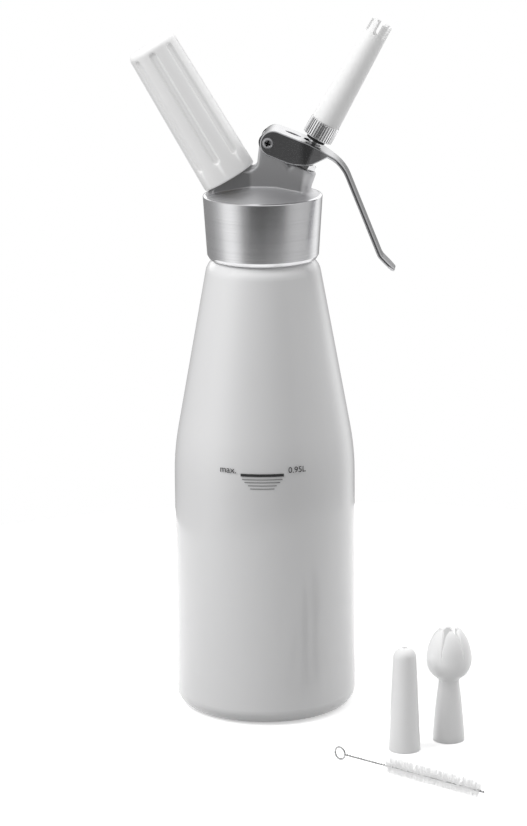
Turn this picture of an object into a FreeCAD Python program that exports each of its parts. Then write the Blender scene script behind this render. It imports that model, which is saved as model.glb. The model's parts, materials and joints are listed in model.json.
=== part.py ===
import FreeCAD, Part
import math
import os
from FreeCAD import Vector

# Whipped cream dispenser, in millimetres, +Z up.
# The origin is the centre of the bottle's foot. The head's plane of symmetry is XZ:
# the gas charger holder leans towards -X, the decorating tip and the lever towards +X.

# ---- clearances -------------------------------------------------------------------
THREAD_GAP = 0.3            # radial, between a screwed piece and what it screws on
RUNNING_GAP = 0.05          # radial, between a turning or sliding shaft and its bore
SEAT_GAP = 0.4              # between a piece that moves and the face it works against
CUT_OVERRUN = 1.0           # how far a cutting tool runs past the face it cuts
COINCIDENT = 1e-6           # lengths and angles below this count as none
FULL_ROUND = 0.99           # share of a half width taken by a rounding that looks full
SOFT_ROUND = 0.9            # share of a height or radius taken by a generous rounding
SMOOTH_ENOUGH = 5.0         # degrees between two faces that need no blend

# ---- bottle -----------------------------------------------------------------------
BOTTLE_RADIUS = 48.5
BOTTLE_WALL = 1.2
BOTTLE_FLOOR = 1.6
FOOT_ROUND = 8.0
FOOT_BEAD_RADIUS = 30.0
FOOT_BEAD_WIDTH = 3.0
FOOT_BEAD_DEPTH = 0.8
BODY_HEIGHT = 141.2         # where the straight body would meet the cone
BODY_TO_CONE_ROUND = 144.0
SHOULDER_HEIGHT = 241.5
SHOULDER_ROUND = 9.0
SHOULDER_OVERHANG = 4.6     # from the neck out to where cone and shoulder would meet
SHOULDER_RISE = 5.3         # from there up to the neck's base
NECK_RADIUS = 25.6
NECK_WALL = 3.2
NECK_LENGTH = 25.2
MOUTH_ROUND = 1.0

# ---- head: screw skirt and dome; its heights are above the bottle's mouth ---------------
SKIRT_HANG = 0.8            # how far the skirt reaches below the neck's base
SKIRT_WALL = 4.1            # from the neck to the skirt's outside at its low end
SKIRT_FLARE = 2.05          # how much wider the skirt is at its top
SKIRT_RISE = 7.6
SKIRT_CHAMFER_HEIGHT = 2.4
SKIRT_CHAMFER_DEPTH = 1.2
SKIRT_TOP_ROUND = 1.8
SKIRT_LEAD_IN = 1.0         # chamfer at the mouth of the skirt's bore
DOME_RISE = 12.3
DOME_TOP_RADIUS = 12.0
DOME_ROUND = 6.0
GASKET_THICKNESS = 2.5
GASKET_WIDTH = 4.0
HEAD_RECESS_INSET = 4.1     # from the neck's outside in to the recess
HEAD_RECESS_DEPTH = 2.5
CASTING_BLEND = 3.0         # rounding of the inner corners between dome, bosses and lug

# ---- head: lug for the lever ------------------------------------------------------
PIVOT_X = 3.9
PIVOT_RISE = 37.2
LUG_HALF_THICKNESS = 9.0
LUG_TOP_RADIUS = 4.7
LUG_EDGE_ROUND = 1.2
LUG_LEFT_X = -2.3
LUG_FOOT_LEFT_X = -14.0
LUG_FOOT_RIGHT_X = 17.5
LUG_FOOT_RISE = 10.0

# ---- gas charger side -------------------------------------------------------------
CHARGER_TILT = 30.5         # degrees from the vertical, towards -X
CHARGER_FACE_X = -17.25
CHARGER_FACE_RISE = 16.85   # above the bottle's mouth
CHARGER_BOSS_RADIUS = 13.2
CHARGER_BOSS_ROUND = 0.5
CHARGER_BOSS_DEPTH = 13.0
STUD_RADIUS = 9.0
STUD_HEIGHT = 15.0
STUD_ROUND = 0.8
STUD_ROOT_RADIUS = 7.0
STUD_ROOT_DEPTH = 6.0
SOCKET_FLOOR = 6.0
GAS_PASSAGE_RADIUS = 1.5
PIERCER_SEAL_THICKNESS = 2.0
PIERCER_SEAL_HOLE_RADIUS = 1.4
PIN_RADIUS = 0.6
PIN_BORE_RADIUS = 0.25
PIN_BASE_RADIUS = 2.4
PIN_BASE_HEIGHT = 2.0
PIN_STAND_OUT = 2.0         # how far the point reaches into the charger's neck

CHARGER_NECK_RADIUS = 4.45
CHARGER_NECK_LENGTH = 8.5
CHARGER_BODY_RADIUS = 9.1
CHARGER_LENGTH = 65.7
CHARGER_SHOULDER_LENGTH = 9.0
CHARGER_WALL = 1.8
CHARGER_HOLE_RADIUS = 1.0
CHARGER_NECK_GAP = 0.55

HOLDER_LENGTH = 81.6
HOLDER_MOUTH_RADIUS = 14.9
HOLDER_TOP_RADIUS = 13.55
HOLDER_TOP_ROUND = 3.0
HOLDER_MOUTH_ROUND = 0.8
HOLDER_BORE_GAP = 0.5
FLUTE_COUNT = 8
FLUTE_WIDTH = 4.2
FLUTE_DEPTH = 0.9
FLUTE_LOW = 10.5
FLUTE_TOP_MARGIN = 3.4
FLUTE_PHASE = 2.0           # degrees from the front
INSERT_WALL = 2.1
INSERT_LENGTH = 13.5
INSERT_INSET = 0.5

NIPPLE_RADIUS = 2.6
NIPPLE_LENGTH = 5.0
NIPPLE_BORE_RADIUS = 1.2
CHECK_SLEEVE_WALL = 1.4
CHECK_SLEEVE_LENGTH = 4.2

# ---- valve side, measured along the valve's axis from the tip adapter's foot --------
VALVE_TILT = 29.5           # degrees from the vertical, towards +X
ADAPTER_FOOT_X = 29.05
ADAPTER_FOOT_RISE = 38.65   # above the bottle's mouth
VALVE_BOSS_TOP = -17.0
VALVE_BOSS_RADIUS = 9.0
VALVE_BOSS_HALF_ANGLE = 9.5
VALVE_BOSS_DEPTH = 18.0
VALVE_BOSS_ROUND = 0.5
VALVE_BORE_RADIUS = 6.3
VALVE_BORE_FLOOR = -34.0
VALVE_SEAT = -40.5
VALVE_SEAT_RADIUS = 7.0
VALVE_SEAT_BOSS_HEIGHT = 6.0
STEM_RADIUS = 3.2
STEM_BORE_RADIUS = 2.0
STEM_TOP = 7.0
STEM_PASSAGE_GAP = 0.7
STEM_FLANGE_RADIUS = 5.7
STEM_FLANGE_TOP = -23.2
STEM_FLANGE_THICKNESS = 1.4
STEM_SOLID_END = 3.0
STEM_CROSS_HOLE_RADIUS = 1.1
STEM_SPIGOT_RADIUS = 2.6
VALVE_SEAL_RADIUS = 6.0
VALVE_SEAL_THICKNESS = 2.0
RETAINER_HEAD_RADIUS = 4.8
RETAINER_HEAD_THICKNESS = 1.6
RETAINER_SHANK_RADIUS = 1.2
RETAINER_SHANK_LENGTH = 5.0
NUT_ACROSS_FLATS = 13.0
NUT_HEIGHT = 3.0
NUT_SPIGOT_LENGTH = 5.0
STEM_RING_SECTION = 0.8
STEM_RING_GAP = 0.1
STEM_RING_DEPTH = 2.6       # below the valve boss's top face
COLLAR_RADIUS = 6.0
COLLAR_DOME_RADIUS = 14.0
COLLAR_FOOT = -9.0
COLLAR_GAP = 0.5            # between the collar's dome and the lever's web at rest
SPRING_WIRE_RADIUS = 0.5
SPRING_TURNS = 5

# ---- tip adapter, seal and decorating tips -----------------------------------------
ADAPTER_RADIUS = 8.2
ADAPTER_HEIGHT = 9.3
ADAPTER_EDGE_ROUND = 0.5
SPIGOT_RADIUS = 6.1
SPIGOT_LENGTH = 6.5
SPIGOT_BORE_RADIUS = 2.8
ADAPTER_SEAL_RADIUS = 6.3
ADAPTER_SEAL_THICKNESS = 2.0
TIP_SOCKET_LENGTH = 7.0
TIP_WALL = 1.35
STAR_TIP_LENGTH = 60.0
STAR_TIP_FOOT_RADIUS = 7.75
STAR_TIP_END_RADIUS = 5.8
STAR_SLOT_COUNT = 6
STAR_SLOT_WIDTH = 2.6
STAR_SLOT_DEPTH = 7.0
STAR_SLOT_PHASE = -7.0      # degrees from the front

# ---- lever, drawn in its own plane from the pivot ------------------------------------
WEB_TILT = 21.6             # degrees below the horizontal
LEVER_SHEET = 2.0
EAR_GAP = 0.7               # between the lug and each ear
WASHER_THICKNESS = 0.4
WASHER_RADIUS = 5.0
WEB_HEIGHT = 7.46           # web's top above the pivot
EAR_END_RADIUS = 7.0
EAR_END_X = 2.73
WEB_WRAP = 23.0             # degrees that the web follows the ears' round ends
EAR_LOW_BEND_X = 16.0
EAR_RISE_X = 25.0
EAR_RISE_Z = -3.2
EAR_TIP_X = 31.8
EAR_TIP_Z = 3.6
SHOULDER_X = 21.1
SHOULDER_BEND = 10.2        # degrees
SHOULDER_RUN = 20.2
SHOULDER_BEND_ROUND = 30.0
ELBOW_BEND = 36.4
ELBOW_ROUND = 23.0
HANDLE_RUN = 53.1
KICK_BEND = 22.6
KICK_ROUND = 9.0
KICK_RUN = 10.6
HANDLE_WIDTH = 13.0
WAIST_START = 23.0
WAIST_END = 37.0
DIMPLE_X = 10.5
DIMPLE_LENGTH = 9.0
DIMPLE_WIDTH = 4.4
DIMPLE_DEPTH = 0.5
STEM_SLOT_GAP = 0.6
LEVER_EDGE_ROUND = 0.9
LEVER_SWING = 10.0          # degrees

SLEEVE_RADIUS = 3.0
SCREW_RADIUS = 2.0
SCREW_HOLE_GAP = 0.1
SCREW_HEAD_RADIUS = 3.0
SCREW_HEAD_HEIGHT = 2.0
CROSS_RECESS_WIDTH = 0.8
CROSS_RECESS_LENGTH = 3.4
CROSS_RECESS_DEPTH = 1.2
PIVOT_NUT_ACROSS_FLATS = 7.0
PIVOT_NUT_HEIGHT = 2.4

# ---- what stands and lies beside the bottle ------------------------------------------
PLAIN_TIP_X = 79.4
PLAIN_TIP_Y = -78.9
PLAIN_TIP_LENGTH = 55.6
PLAIN_TIP_FOOT_RADIUS = 8.4
PLAIN_TIP_END_RADIUS = 5.8
PLAIN_TIP_DOME = 6.6        # height of the rounded nose
PLAIN_TIP_HOLE_RADIUS = 1.5
TULIP_TIP_X = 101.9
TULIP_TIP_Y = -61.9
TULIP_FOOT_RADIUS = 8.4
TULIP_WAIST_HEIGHT = 30.4
TULIP_WAIST_RADIUS = 5.4
TULIP_BULB_HEIGHT = 43.4
TULIP_BULB_RADIUS = 11.5
TULIP_BULB_SHOULDER_RADIUS = 8.8
TULIP_BULB_SHOULDER_HEIGHT = 35.9
TULIP_LENGTH = 61.0
TULIP_END_RADIUS = 5.2
TULIP_PETALS = 6
TULIP_CUT_FLOOR = 43.0      # where the two sides of a cut would meet
TULIP_CUT_WIDTH = 4.2       # between two petals' ends
TULIP_CUT_ROUND = 0.15
TULIP_CUT_PHASE = -18.0     # degrees from the front
BRUSH_RING_X = 46.8
BRUSH_RING_Y = -98.5
BRUSH_HEADING = -35.0       # degrees from +X
BRUSH_RADIUS = 3.75
BRUSH_LENGTH = 92.8
BRISTLE_START = 31.5
BRISTLE_END = 90.5
BRISTLE_PITCH = 3.7
BRISTLE_ROOT_RADIUS = 2.3
BRISTLE_SLOPE = 0.3         # share of the pitch that a ridge takes to rise
WIRE_RADIUS = 0.75
RING_WIRE_RADIUS = 0.55

ORIGIN = Vector(0, 0, 0)
X_AXIS = Vector(1, 0, 0)
Y_AXIS = Vector(0, 1, 0)
Z_AXIS = Vector(0, 0, 1)
HALF_TURN = 180.0
FULL_TURN = 360.0
HEXAGON_SIDES = 6

# ---- worked out from the sizes above ---------------------------------------------------
SHOULDER_RADIUS = NECK_RADIUS + SHOULDER_OVERHANG
CONE_SLOPE = (BOTTLE_RADIUS - SHOULDER_RADIUS) / (SHOULDER_HEIGHT - BODY_HEIGHT)
NECK_BASE_HEIGHT = SHOULDER_HEIGHT + SHOULDER_RISE
MOUTH_HEIGHT = NECK_BASE_HEIGHT + NECK_LENGTH
SKIRT_BOTTOM = NECK_BASE_HEIGHT - SKIRT_HANG
SKIRT_TOP = MOUTH_HEIGHT + SKIRT_RISE
SKIRT_LOW_RADIUS = NECK_RADIUS + SKIRT_WALL
SKIRT_TOP_RADIUS = SKIRT_LOW_RADIUS + SKIRT_FLARE
DOME_TOP = MOUTH_HEIGHT + DOME_RISE
HEAD_RECESS_RADIUS = NECK_RADIUS - HEAD_RECESS_INSET
PIVOT_Z = MOUTH_HEIGHT + PIVOT_RISE
LUG_FOOT_Z = MOUTH_HEIGHT + LUG_FOOT_RISE
CHARGER_FACE_Z = MOUTH_HEIGHT + CHARGER_FACE_RISE
ADAPTER_FOOT_Z = MOUTH_HEIGHT + ADAPTER_FOOT_RISE
SKIRT_BORE_RADIUS = NECK_RADIUS + THREAD_GAP
GASKET_SEAT_HEIGHT = MOUTH_HEIGHT + GASKET_THICKNESS
RECESS_CEILING = GASKET_SEAT_HEIGHT + HEAD_RECESS_DEPTH
CHARGER_START = SOCKET_FLOOR + PIERCER_SEAL_THICKNESS + THREAD_GAP
HOLDER_BORE_RADIUS = CHARGER_BODY_RADIUS + HOLDER_BORE_GAP
INSERT_BORE_RADIUS = STUD_RADIUS + THREAD_GAP
INSERT_RADIUS = INSERT_BORE_RADIUS + INSERT_WALL
EAR_INNER = LUG_HALF_THICKNESS + EAR_GAP
EAR_OUTER = EAR_INNER + LEVER_SHEET
TIP_SOCKET_RADIUS = SPIGOT_RADIUS + THREAD_GAP
STEM_PASSAGE_RADIUS = STEM_RADIUS + STEM_PASSAGE_GAP


def rounded_wire(corners):
    """Closed outline in the XZ plane. Each corner is (x, z, radius of its rounding)."""
    count = len(corners)
    starts, ends, middles = [], [], []
    for index in range(count):
        before = corners[index - 1]
        x, z, radius = corners[index]
        after = corners[(index + 1) % count]
        corner = Vector(x, 0, z)
        to_before = (Vector(before[0], 0, before[1]) - corner).normalize()
        to_after = (Vector(after[0], 0, after[1]) - corner).normalize()
        half = to_before.getAngle(to_after) / 2
        if radius <= 0 or half > math.pi / 2 - COINCIDENT:
            starts.append(corner)
            ends.append(corner)
            middles.append(None)
            continue
        reach = radius / math.tan(half)
        inwards = (to_before + to_after).normalize()
        centre = corner + inwards * (radius / math.sin(half))
        starts.append(corner + to_before * reach)
        ends.append(corner + to_after * reach)
        middles.append(centre - inwards * radius)
    edges = []
    for index in range(count):
        if middles[index] is not None:
            arc = Part.Arc(starts[index], middles[index], ends[index])
            edges.append(arc.toShape())
        here, there = ends[index], starts[(index + 1) % count]
        if here.distanceToPoint(there) > COINCIDENT:
            edges.append(Part.LineSegment(here, there).toShape())
    return Part.Wire(edges)


def revolved(corners):
    """Solid of revolution about Z from an outline of (radius, height, rounding)."""
    return Part.Face(rounded_wire(corners)).revolve(ORIGIN, Z_AXIS, FULL_TURN)


def plate(corners, half_width):
    """Solid of an XZ outline, centred on the XZ plane."""
    solid = Part.Face(rounded_wire(corners)).extrude(Vector(0, 2 * half_width, 0))
    solid.translate(Vector(0, -half_width, 0))
    return solid


def rod(radius, low, high):
    """Cylinder on the Z axis from one height to another."""
    return Part.makeCylinder(radius, high - low, Vector(0, 0, low))


def tube(inner, outer, low, high):
    """Tube on the Z axis."""
    return rod(outer, low, high).cut(rod(inner, low - CUT_OVERRUN, high + CUT_OVERRUN))


def hexagon(across_flats, low, high):
    """Hexagonal prism on the Z axis."""
    radius = across_flats / 2 / math.cos(math.pi / HEXAGON_SIDES)
    corners = []
    for side in range(HEXAGON_SIDES + 1):
        turn = 2 * math.pi * side / HEXAGON_SIDES
        corners.append(Vector(radius * math.cos(turn), radius * math.sin(turn), low))
    return Part.Face(Part.makePolygon(corners)).extrude(Vector(0, 0, high - low))


def turned_copies(tool, count, phase=0.0):
    """Copies of a tool spaced evenly about the Z axis."""
    copies = []
    for index in range(count):
        copy = tool.copy()
        copy.rotate(ORIGIN, Z_AXIS, phase + FULL_TURN * index / count)
        copies.append(copy)
    return copies


def crossed(tool):
    """A tool that is the same on both sides of the Z axis, with a second one across it."""
    across = tool.copy()
    across.rotate(ORIGIN, Z_AXIS, HALF_TURN / 2)
    return [tool, across]


def on_valve_axis(shape):
    """Place a shape drawn on Z so that its zero is the adapter's foot."""
    shape.rotate(ORIGIN, Y_AXIS, VALVE_TILT)
    shape.translate(Vector(ADAPTER_FOOT_X, 0, ADAPTER_FOOT_Z))
    return shape


def on_charger_axis(shape):
    """Place a shape drawn on Z so that its zero is the charger boss's face."""
    shape.rotate(ORIGIN, Y_AXIS, -CHARGER_TILT)
    shape.translate(Vector(CHARGER_FACE_X, 0, CHARGER_FACE_Z))
    return shape


def on_pivot(shape):
    """Place a shape drawn in the lever's plane, with the pivot as its zero."""
    shape.rotate(ORIGIN, Y_AXIS, WEB_TILT)
    shape.translate(Vector(PIVOT_X, 0, PIVOT_Z))
    return shape


def along_pivot(shape):
    """Turn a shape drawn on Z to lie along Y through the pivot."""
    shape.rotate(ORIGIN, X_AXIS, -HALF_TURN / 2)
    return on_pivot(shape)


# ---- bottle -----------------------------------------------------------------------------
def cone_radius(height, inset=0.0):
    """Radius of the bottle's cone, or of a parallel cone set in by a wall."""
    across = inset * math.hypot(1, CONE_SLOPE)
    return BOTTLE_RADIUS - across - (height - BODY_HEIGHT) * CONE_SLOPE


def bottle():
    outer = revolved([
        (0, 0, 0),
        (BOTTLE_RADIUS, 0, FOOT_ROUND),
        (BOTTLE_RADIUS, BODY_HEIGHT, BODY_TO_CONE_ROUND),
        (SHOULDER_RADIUS, SHOULDER_HEIGHT, SHOULDER_ROUND),
        (NECK_RADIUS, NECK_BASE_HEIGHT, 0),
        (NECK_RADIUS, MOUTH_HEIGHT, MOUTH_ROUND),
        (0, MOUTH_HEIGHT, 0),
    ])
    inner_radius = BOTTLE_RADIUS - BOTTLE_WALL
    throat = NECK_RADIUS - NECK_WALL
    inner_shoulder = SHOULDER_HEIGHT - BOTTLE_WALL
    inner = revolved([
        (0, BOTTLE_FLOOR, 0),
        (inner_radius, BOTTLE_FLOOR, FOOT_ROUND - BOTTLE_WALL),
        (inner_radius, BODY_HEIGHT, BODY_TO_CONE_ROUND - BOTTLE_WALL),
        (cone_radius(inner_shoulder, BOTTLE_WALL), inner_shoulder, SHOULDER_ROUND - BOTTLE_WALL),
        (throat, NECK_BASE_HEIGHT, 0),
        (throat, MOUTH_HEIGHT + CUT_OVERRUN, 0),
        (0, MOUTH_HEIGHT + CUT_OVERRUN, 0),
    ])
    bead = tube(FOOT_BEAD_RADIUS, FOOT_BEAD_RADIUS + FOOT_BEAD_WIDTH, -CUT_OVERRUN, FOOT_BEAD_DEPTH)
    return outer.cut(inner).cut(bead)


# ---- head ---------------------------------------------------------------------------------
def skirt_and_dome():
    chamfer_radius = SKIRT_LOW_RADIUS - SKIRT_CHAMFER_DEPTH
    return revolved([
        (0, SKIRT_BOTTOM, 0),
        (chamfer_radius, SKIRT_BOTTOM, 0),
        (SKIRT_LOW_RADIUS, SKIRT_BOTTOM + SKIRT_CHAMFER_HEIGHT, 0),
        (SKIRT_TOP_RADIUS, SKIRT_TOP, SKIRT_TOP_ROUND),
        (DOME_TOP_RADIUS, DOME_TOP, DOME_ROUND),
        (0, DOME_TOP, 0),
    ])


def head_hollow():
    """The threaded bore over the neck, the gasket's seat and the shallow recess inside it."""
    return revolved([
        (0, SKIRT_BOTTOM - CUT_OVERRUN, 0),
        (SKIRT_BORE_RADIUS + SKIRT_LEAD_IN + CUT_OVERRUN, SKIRT_BOTTOM - CUT_OVERRUN, 0),
        (SKIRT_BORE_RADIUS, SKIRT_BOTTOM + SKIRT_LEAD_IN, 0),
        (SKIRT_BORE_RADIUS, GASKET_SEAT_HEIGHT, 0),
        (HEAD_RECESS_RADIUS, GASKET_SEAT_HEIGHT, 0),
        (HEAD_RECESS_RADIUS, RECESS_CEILING, 0),
        (0, RECESS_CEILING, 0),
    ])


def boss_face_height(x):
    """Height of the charger boss's sloping face above a point on the X axis."""
    return CHARGER_FACE_Z + (x - CHARGER_FACE_X) * math.tan(math.radians(CHARGER_TILT))


def valve_boss_left_rim():
    """Where the valve boss's top face meets its wall on the lug's side."""
    tilt = math.radians(VALVE_TILT)
    x = ADAPTER_FOOT_X + VALVE_BOSS_TOP * math.sin(tilt) - VALVE_BOSS_RADIUS * math.cos(tilt)
    z = ADAPTER_FOOT_Z + VALVE_BOSS_TOP * math.cos(tilt) + VALVE_BOSS_RADIUS * math.sin(tilt)
    return x, z


def lug_tangent(x, z, side):
    """Heading of the line from a point that touches the lug's round top, left (1) or right (-1)."""
    reach = math.hypot(PIVOT_X - x, PIVOT_Z - z)
    return math.atan2(PIVOT_Z - z, PIVOT_X - x) + side * math.asin(LUG_TOP_RADIUS / reach)


def lug_apex(left, right):
    """Where the lug's two flanks would meet above its round top."""
    left_turn = lug_tangent(left[0], left[1], 1)
    right_turn = lug_tangent(right[0], right[1], -1)
    across = (right[0] - left[0]) * math.sin(right_turn) - (right[1] - left[1]) * math.cos(right_turn)
    along = across / math.sin(right_turn - left_turn)
    return left[0] + along * math.cos(left_turn), left[1] + along * math.sin(left_turn)


def lever_lug():
    """Flat-sided lug between the two bosses, rounded off about the pivot."""
    left = (LUG_LEFT_X, boss_face_height(LUG_LEFT_X) - LUG_EDGE_ROUND)
    rim_x, rim_z = valve_boss_left_rim()
    apex_x, apex_z = lug_apex(left, (rim_x, rim_z))
    solid = plate([
        (LUG_FOOT_LEFT_X, LUG_FOOT_Z, 0),
        (LUG_FOOT_LEFT_X, boss_face_height(LUG_FOOT_LEFT_X) - 2 * LUG_EDGE_ROUND, 0),
        (left[0], left[1], LUG_TOP_RADIUS),
        (apex_x, apex_z, LUG_TOP_RADIUS),
        (rim_x, rim_z, 0),
        (LUG_FOOT_RIGHT_X, LUG_FOOT_Z, 0),
    ], LUG_HALF_THICKNESS)
    outline_edges = [edge for edge in solid.Edges
                     if abs(abs(edge.CenterOfMass.y) - LUG_HALF_THICKNESS) < COINCIDENT]
    return solid.makeFillet(LUG_EDGE_ROUND, outline_edges)


def charger_boss():
    boss = rod(CHARGER_BOSS_RADIUS, -CHARGER_BOSS_DEPTH, 0)
    rim = [edge for edge in boss.Edges if abs(edge.CenterOfMass.z) < COINCIDENT and edge.Closed]
    return on_charger_axis(boss.makeFillet(CHARGER_BOSS_ROUND, rim))


def valve_boss():
    low = VALVE_BOSS_TOP - VALVE_BOSS_DEPTH
    spread = VALVE_BOSS_DEPTH * math.tan(math.radians(VALVE_BOSS_HALF_ANGLE))
    return on_valve_axis(revolved([
        (0, low, 0),
        (VALVE_BOSS_RADIUS + spread, low, 0),
        (VALVE_BOSS_RADIUS, VALVE_BOSS_TOP, VALVE_BOSS_ROUND),
        (0, VALVE_BOSS_TOP, 0),
    ]))


def valve_seat_boss():
    return on_valve_axis(rod(VALVE_SEAT_RADIUS, VALVE_SEAT, VALVE_SEAT + VALVE_SEAT_BOSS_HEIGHT))


def nipple_x():
    """Where the gas passage leaves the ceiling of the head's recess."""
    return CHARGER_FACE_X + (CHARGER_FACE_Z - RECESS_CEILING) * math.tan(math.radians(CHARGER_TILT))


def nipple():
    low = RECESS_CEILING - NIPPLE_LENGTH
    solid = rod(NIPPLE_RADIUS, low, RECESS_CEILING + CUT_OVERRUN)
    solid.translate(Vector(nipple_x(), 0, 0))
    return solid


def head_passages():
    """Everything that is drilled in the casting."""
    to_recess = (CHARGER_FACE_Z - RECESS_CEILING) / math.cos(math.radians(CHARGER_TILT))
    stud_bore = rod(STUD_ROOT_RADIUS + RUNNING_GAP, -STUD_ROOT_DEPTH, CUT_OVERRUN)
    gas_way = rod(GAS_PASSAGE_RADIUS, -to_recess - CUT_OVERRUN, 0)
    nipple_bore = rod(NIPPLE_BORE_RADIUS, RECESS_CEILING - NIPPLE_LENGTH - CUT_OVERRUN, RECESS_CEILING)
    nipple_bore.translate(Vector(nipple_x(), 0, 0))
    valve_bore = rod(VALVE_BORE_RADIUS, VALVE_BORE_FLOOR, VALVE_BOSS_TOP + CUT_OVERRUN)
    seal_pocket = rod(VALVE_SEAT_RADIUS, VALVE_SEAT - 2 * VALVE_SEAT_RADIUS, VALVE_SEAT)
    stem_way = rod(STEM_PASSAGE_RADIUS, VALVE_SEAT - CUT_OVERRUN, VALVE_BORE_FLOOR + CUT_OVERRUN)
    pivot_bore = rod(SLEEVE_RADIUS + RUNNING_GAP, -EAR_OUTER, EAR_OUTER)
    return [on_charger_axis(stud_bore), on_charger_axis(gas_way), nipple_bore,
            on_valve_axis(valve_bore), on_valve_axis(stem_way), on_valve_axis(seal_pocket),
            along_pivot(pivot_bore)]


def is_inner_corner(shape, edge):
    """Whether two faces of a shape meet at an edge like the walls of a room."""
    sides = [face for face in shape.Faces if any(edge.isSame(other) for other in face.Edges)]
    if len(sides) < 2:
        return False
    middle = (edge.FirstParameter + edge.LastParameter) / 2
    place = edge.valueAt(middle)
    first, second = [side.normalAt(*side.Surface.parameter(place)) for side in sides]
    across = edge.tangentAt(middle).cross(first)
    beside = [sides[0].distToShape(Part.Vertex(place + across * step))[0] for step in (1, -1)]
    if beside[0] > beside[1]:
        across = -across
    return across.dot(second) > math.sin(math.radians(SMOOTH_ENOUGH))


def blended(casting):
    """Fill the casting's inner corners; they stay sharp where its sizes leave no room."""
    corners = [edge for edge in casting.Edges if is_inner_corner(casting, edge)]
    try:
        filled = casting.makeFillet(CASTING_BLEND, corners)
    except Part.OCCError:
        return casting
    return filled if filled.isValid() else casting


def head():
    casting = skirt_and_dome().multiFuse([charger_boss(), valve_boss(), lever_lug()])
    casting = blended(casting.removeSplitter()).cut(head_hollow())
    casting = casting.multiFuse([valve_seat_boss(), nipple()])
    return casting.cut(head_passages()).removeSplitter()


def head_gasket():
    outer = NECK_RADIUS + RUNNING_GAP
    return tube(outer - GASKET_WIDTH, outer, MOUTH_HEIGHT, GASKET_SEAT_HEIGHT)


# ---- gas charger side ---------------------------------------------------------------------
def piercer_body():
    """Threaded stud with the charger's socket; its root is screwed into the boss."""
    stud = revolved([
        (0, -STUD_ROOT_DEPTH, 0),
        (STUD_ROOT_RADIUS, -STUD_ROOT_DEPTH, 0),
        (STUD_ROOT_RADIUS, 0, 0),
        (STUD_RADIUS, 0, 0),
        (STUD_RADIUS, STUD_HEIGHT, STUD_ROUND),
        (0, STUD_HEIGHT, 0),
    ])
    socket = rod(CHARGER_NECK_RADIUS + CHARGER_NECK_GAP, SOCKET_FLOOR, STUD_HEIGHT + CUT_OVERRUN)
    pin_seat = rod(PIN_BASE_RADIUS, SOCKET_FLOOR - PIN_BASE_HEIGHT, SOCKET_FLOOR + CUT_OVERRUN)
    gas_way = rod(GAS_PASSAGE_RADIUS, -STUD_ROOT_DEPTH - CUT_OVERRUN, SOCKET_FLOOR)
    return on_charger_axis(stud.cut([socket, pin_seat, gas_way]))


def piercing_pin():
    """Hollow pin: a round base with a pointed tube on it."""
    point = CHARGER_START + PIN_STAND_OUT
    pin = revolved([
        (PIN_BORE_RADIUS, SOCKET_FLOOR - PIN_BASE_HEIGHT, 0),
        (PIN_BASE_RADIUS, SOCKET_FLOOR - PIN_BASE_HEIGHT, 0),
        (PIN_BASE_RADIUS, SOCKET_FLOOR, 0),
        (PIN_RADIUS, SOCKET_FLOOR, 0),
        (PIN_RADIUS, point - 2 * PIN_RADIUS, 0),
        (PIN_BORE_RADIUS, point, 0),
    ])
    return on_charger_axis(pin)


def piercer_seal():
    """Flat rubber seal on the socket's floor, which the charger's neck is pressed on."""
    return on_charger_axis(tube(PIERCER_SEAL_HOLE_RADIUS,
                                CHARGER_NECK_RADIUS + CHARGER_NECK_GAP - RUNNING_GAP,
                                SOCKET_FLOOR, SOCKET_FLOOR + PIERCER_SEAL_THICKNESS))


def gas_check_valve():
    """Rubber sleeve over the nipple that lets gas out into the bottle only."""
    low = RECESS_CEILING - CHECK_SLEEVE_LENGTH
    sleeve = tube(NIPPLE_RADIUS, NIPPLE_RADIUS + CHECK_SLEEVE_WALL, low, RECESS_CEILING)
    sleeve.translate(Vector(nipple_x(), 0, 0))
    return sleeve


def charger_outline(wall):
    """Outline of the charger's outside, or of its inside when a wall is given."""
    start = CHARGER_START + wall
    neck_end = CHARGER_START + CHARGER_NECK_LENGTH
    body_start = neck_end + CHARGER_SHOULDER_LENGTH
    end = CHARGER_START + CHARGER_LENGTH - wall
    neck = CHARGER_NECK_RADIUS - wall
    body = CHARGER_BODY_RADIUS - wall
    return revolved([
        (0, start, 0),
        (neck, start, 0),
        (neck, neck_end, CHARGER_SHOULDER_LENGTH / 2),
        (body, body_start - CHARGER_SHOULDER_LENGTH / 3, CHARGER_SHOULDER_LENGTH / 2),
        (body, end, body - CHARGER_WALL / 2),
        (0, end, 0),
    ])


def charger_bulb():
    shell = charger_outline(0).cut(charger_outline(CHARGER_WALL))
    pierced = rod(CHARGER_HOLE_RADIUS, CHARGER_START - CUT_OVERRUN, CHARGER_START + 2 * CHARGER_WALL)
    return on_charger_axis(shell.cut(pierced))


def holder_radius(height):
    """Outside radius of the tapered holder at a height above the boss's face."""
    share = height / HOLDER_LENGTH
    return HOLDER_MOUTH_RADIUS + (HOLDER_TOP_RADIUS - HOLDER_MOUTH_RADIUS) * share


def holder_flute():
    """Cutter for one flute: a long slot with round ends that follows the taper."""
    low, high = FLUTE_LOW, HOLDER_LENGTH - FLUTE_TOP_MARGIN
    half = FLUTE_WIDTH / 2
    slot = Part.Face(rounded_wire([
        (-half, low, half * FULL_ROUND),
        (half, low, half * FULL_ROUND),
        (half, high, half * FULL_ROUND),
        (-half, high, half * FULL_ROUND),
    ]))
    cutter = slot.extrude(Vector(0, -HOLDER_MOUTH_RADIUS, 0))
    taper = math.degrees(math.atan2(HOLDER_MOUTH_RADIUS - HOLDER_TOP_RADIUS, HOLDER_LENGTH))
    cutter.rotate(Vector(0, 0, low), X_AXIS, -taper)
    cutter.translate(Vector(0, FLUTE_DEPTH - holder_radius(low), 0))
    return cutter


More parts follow.
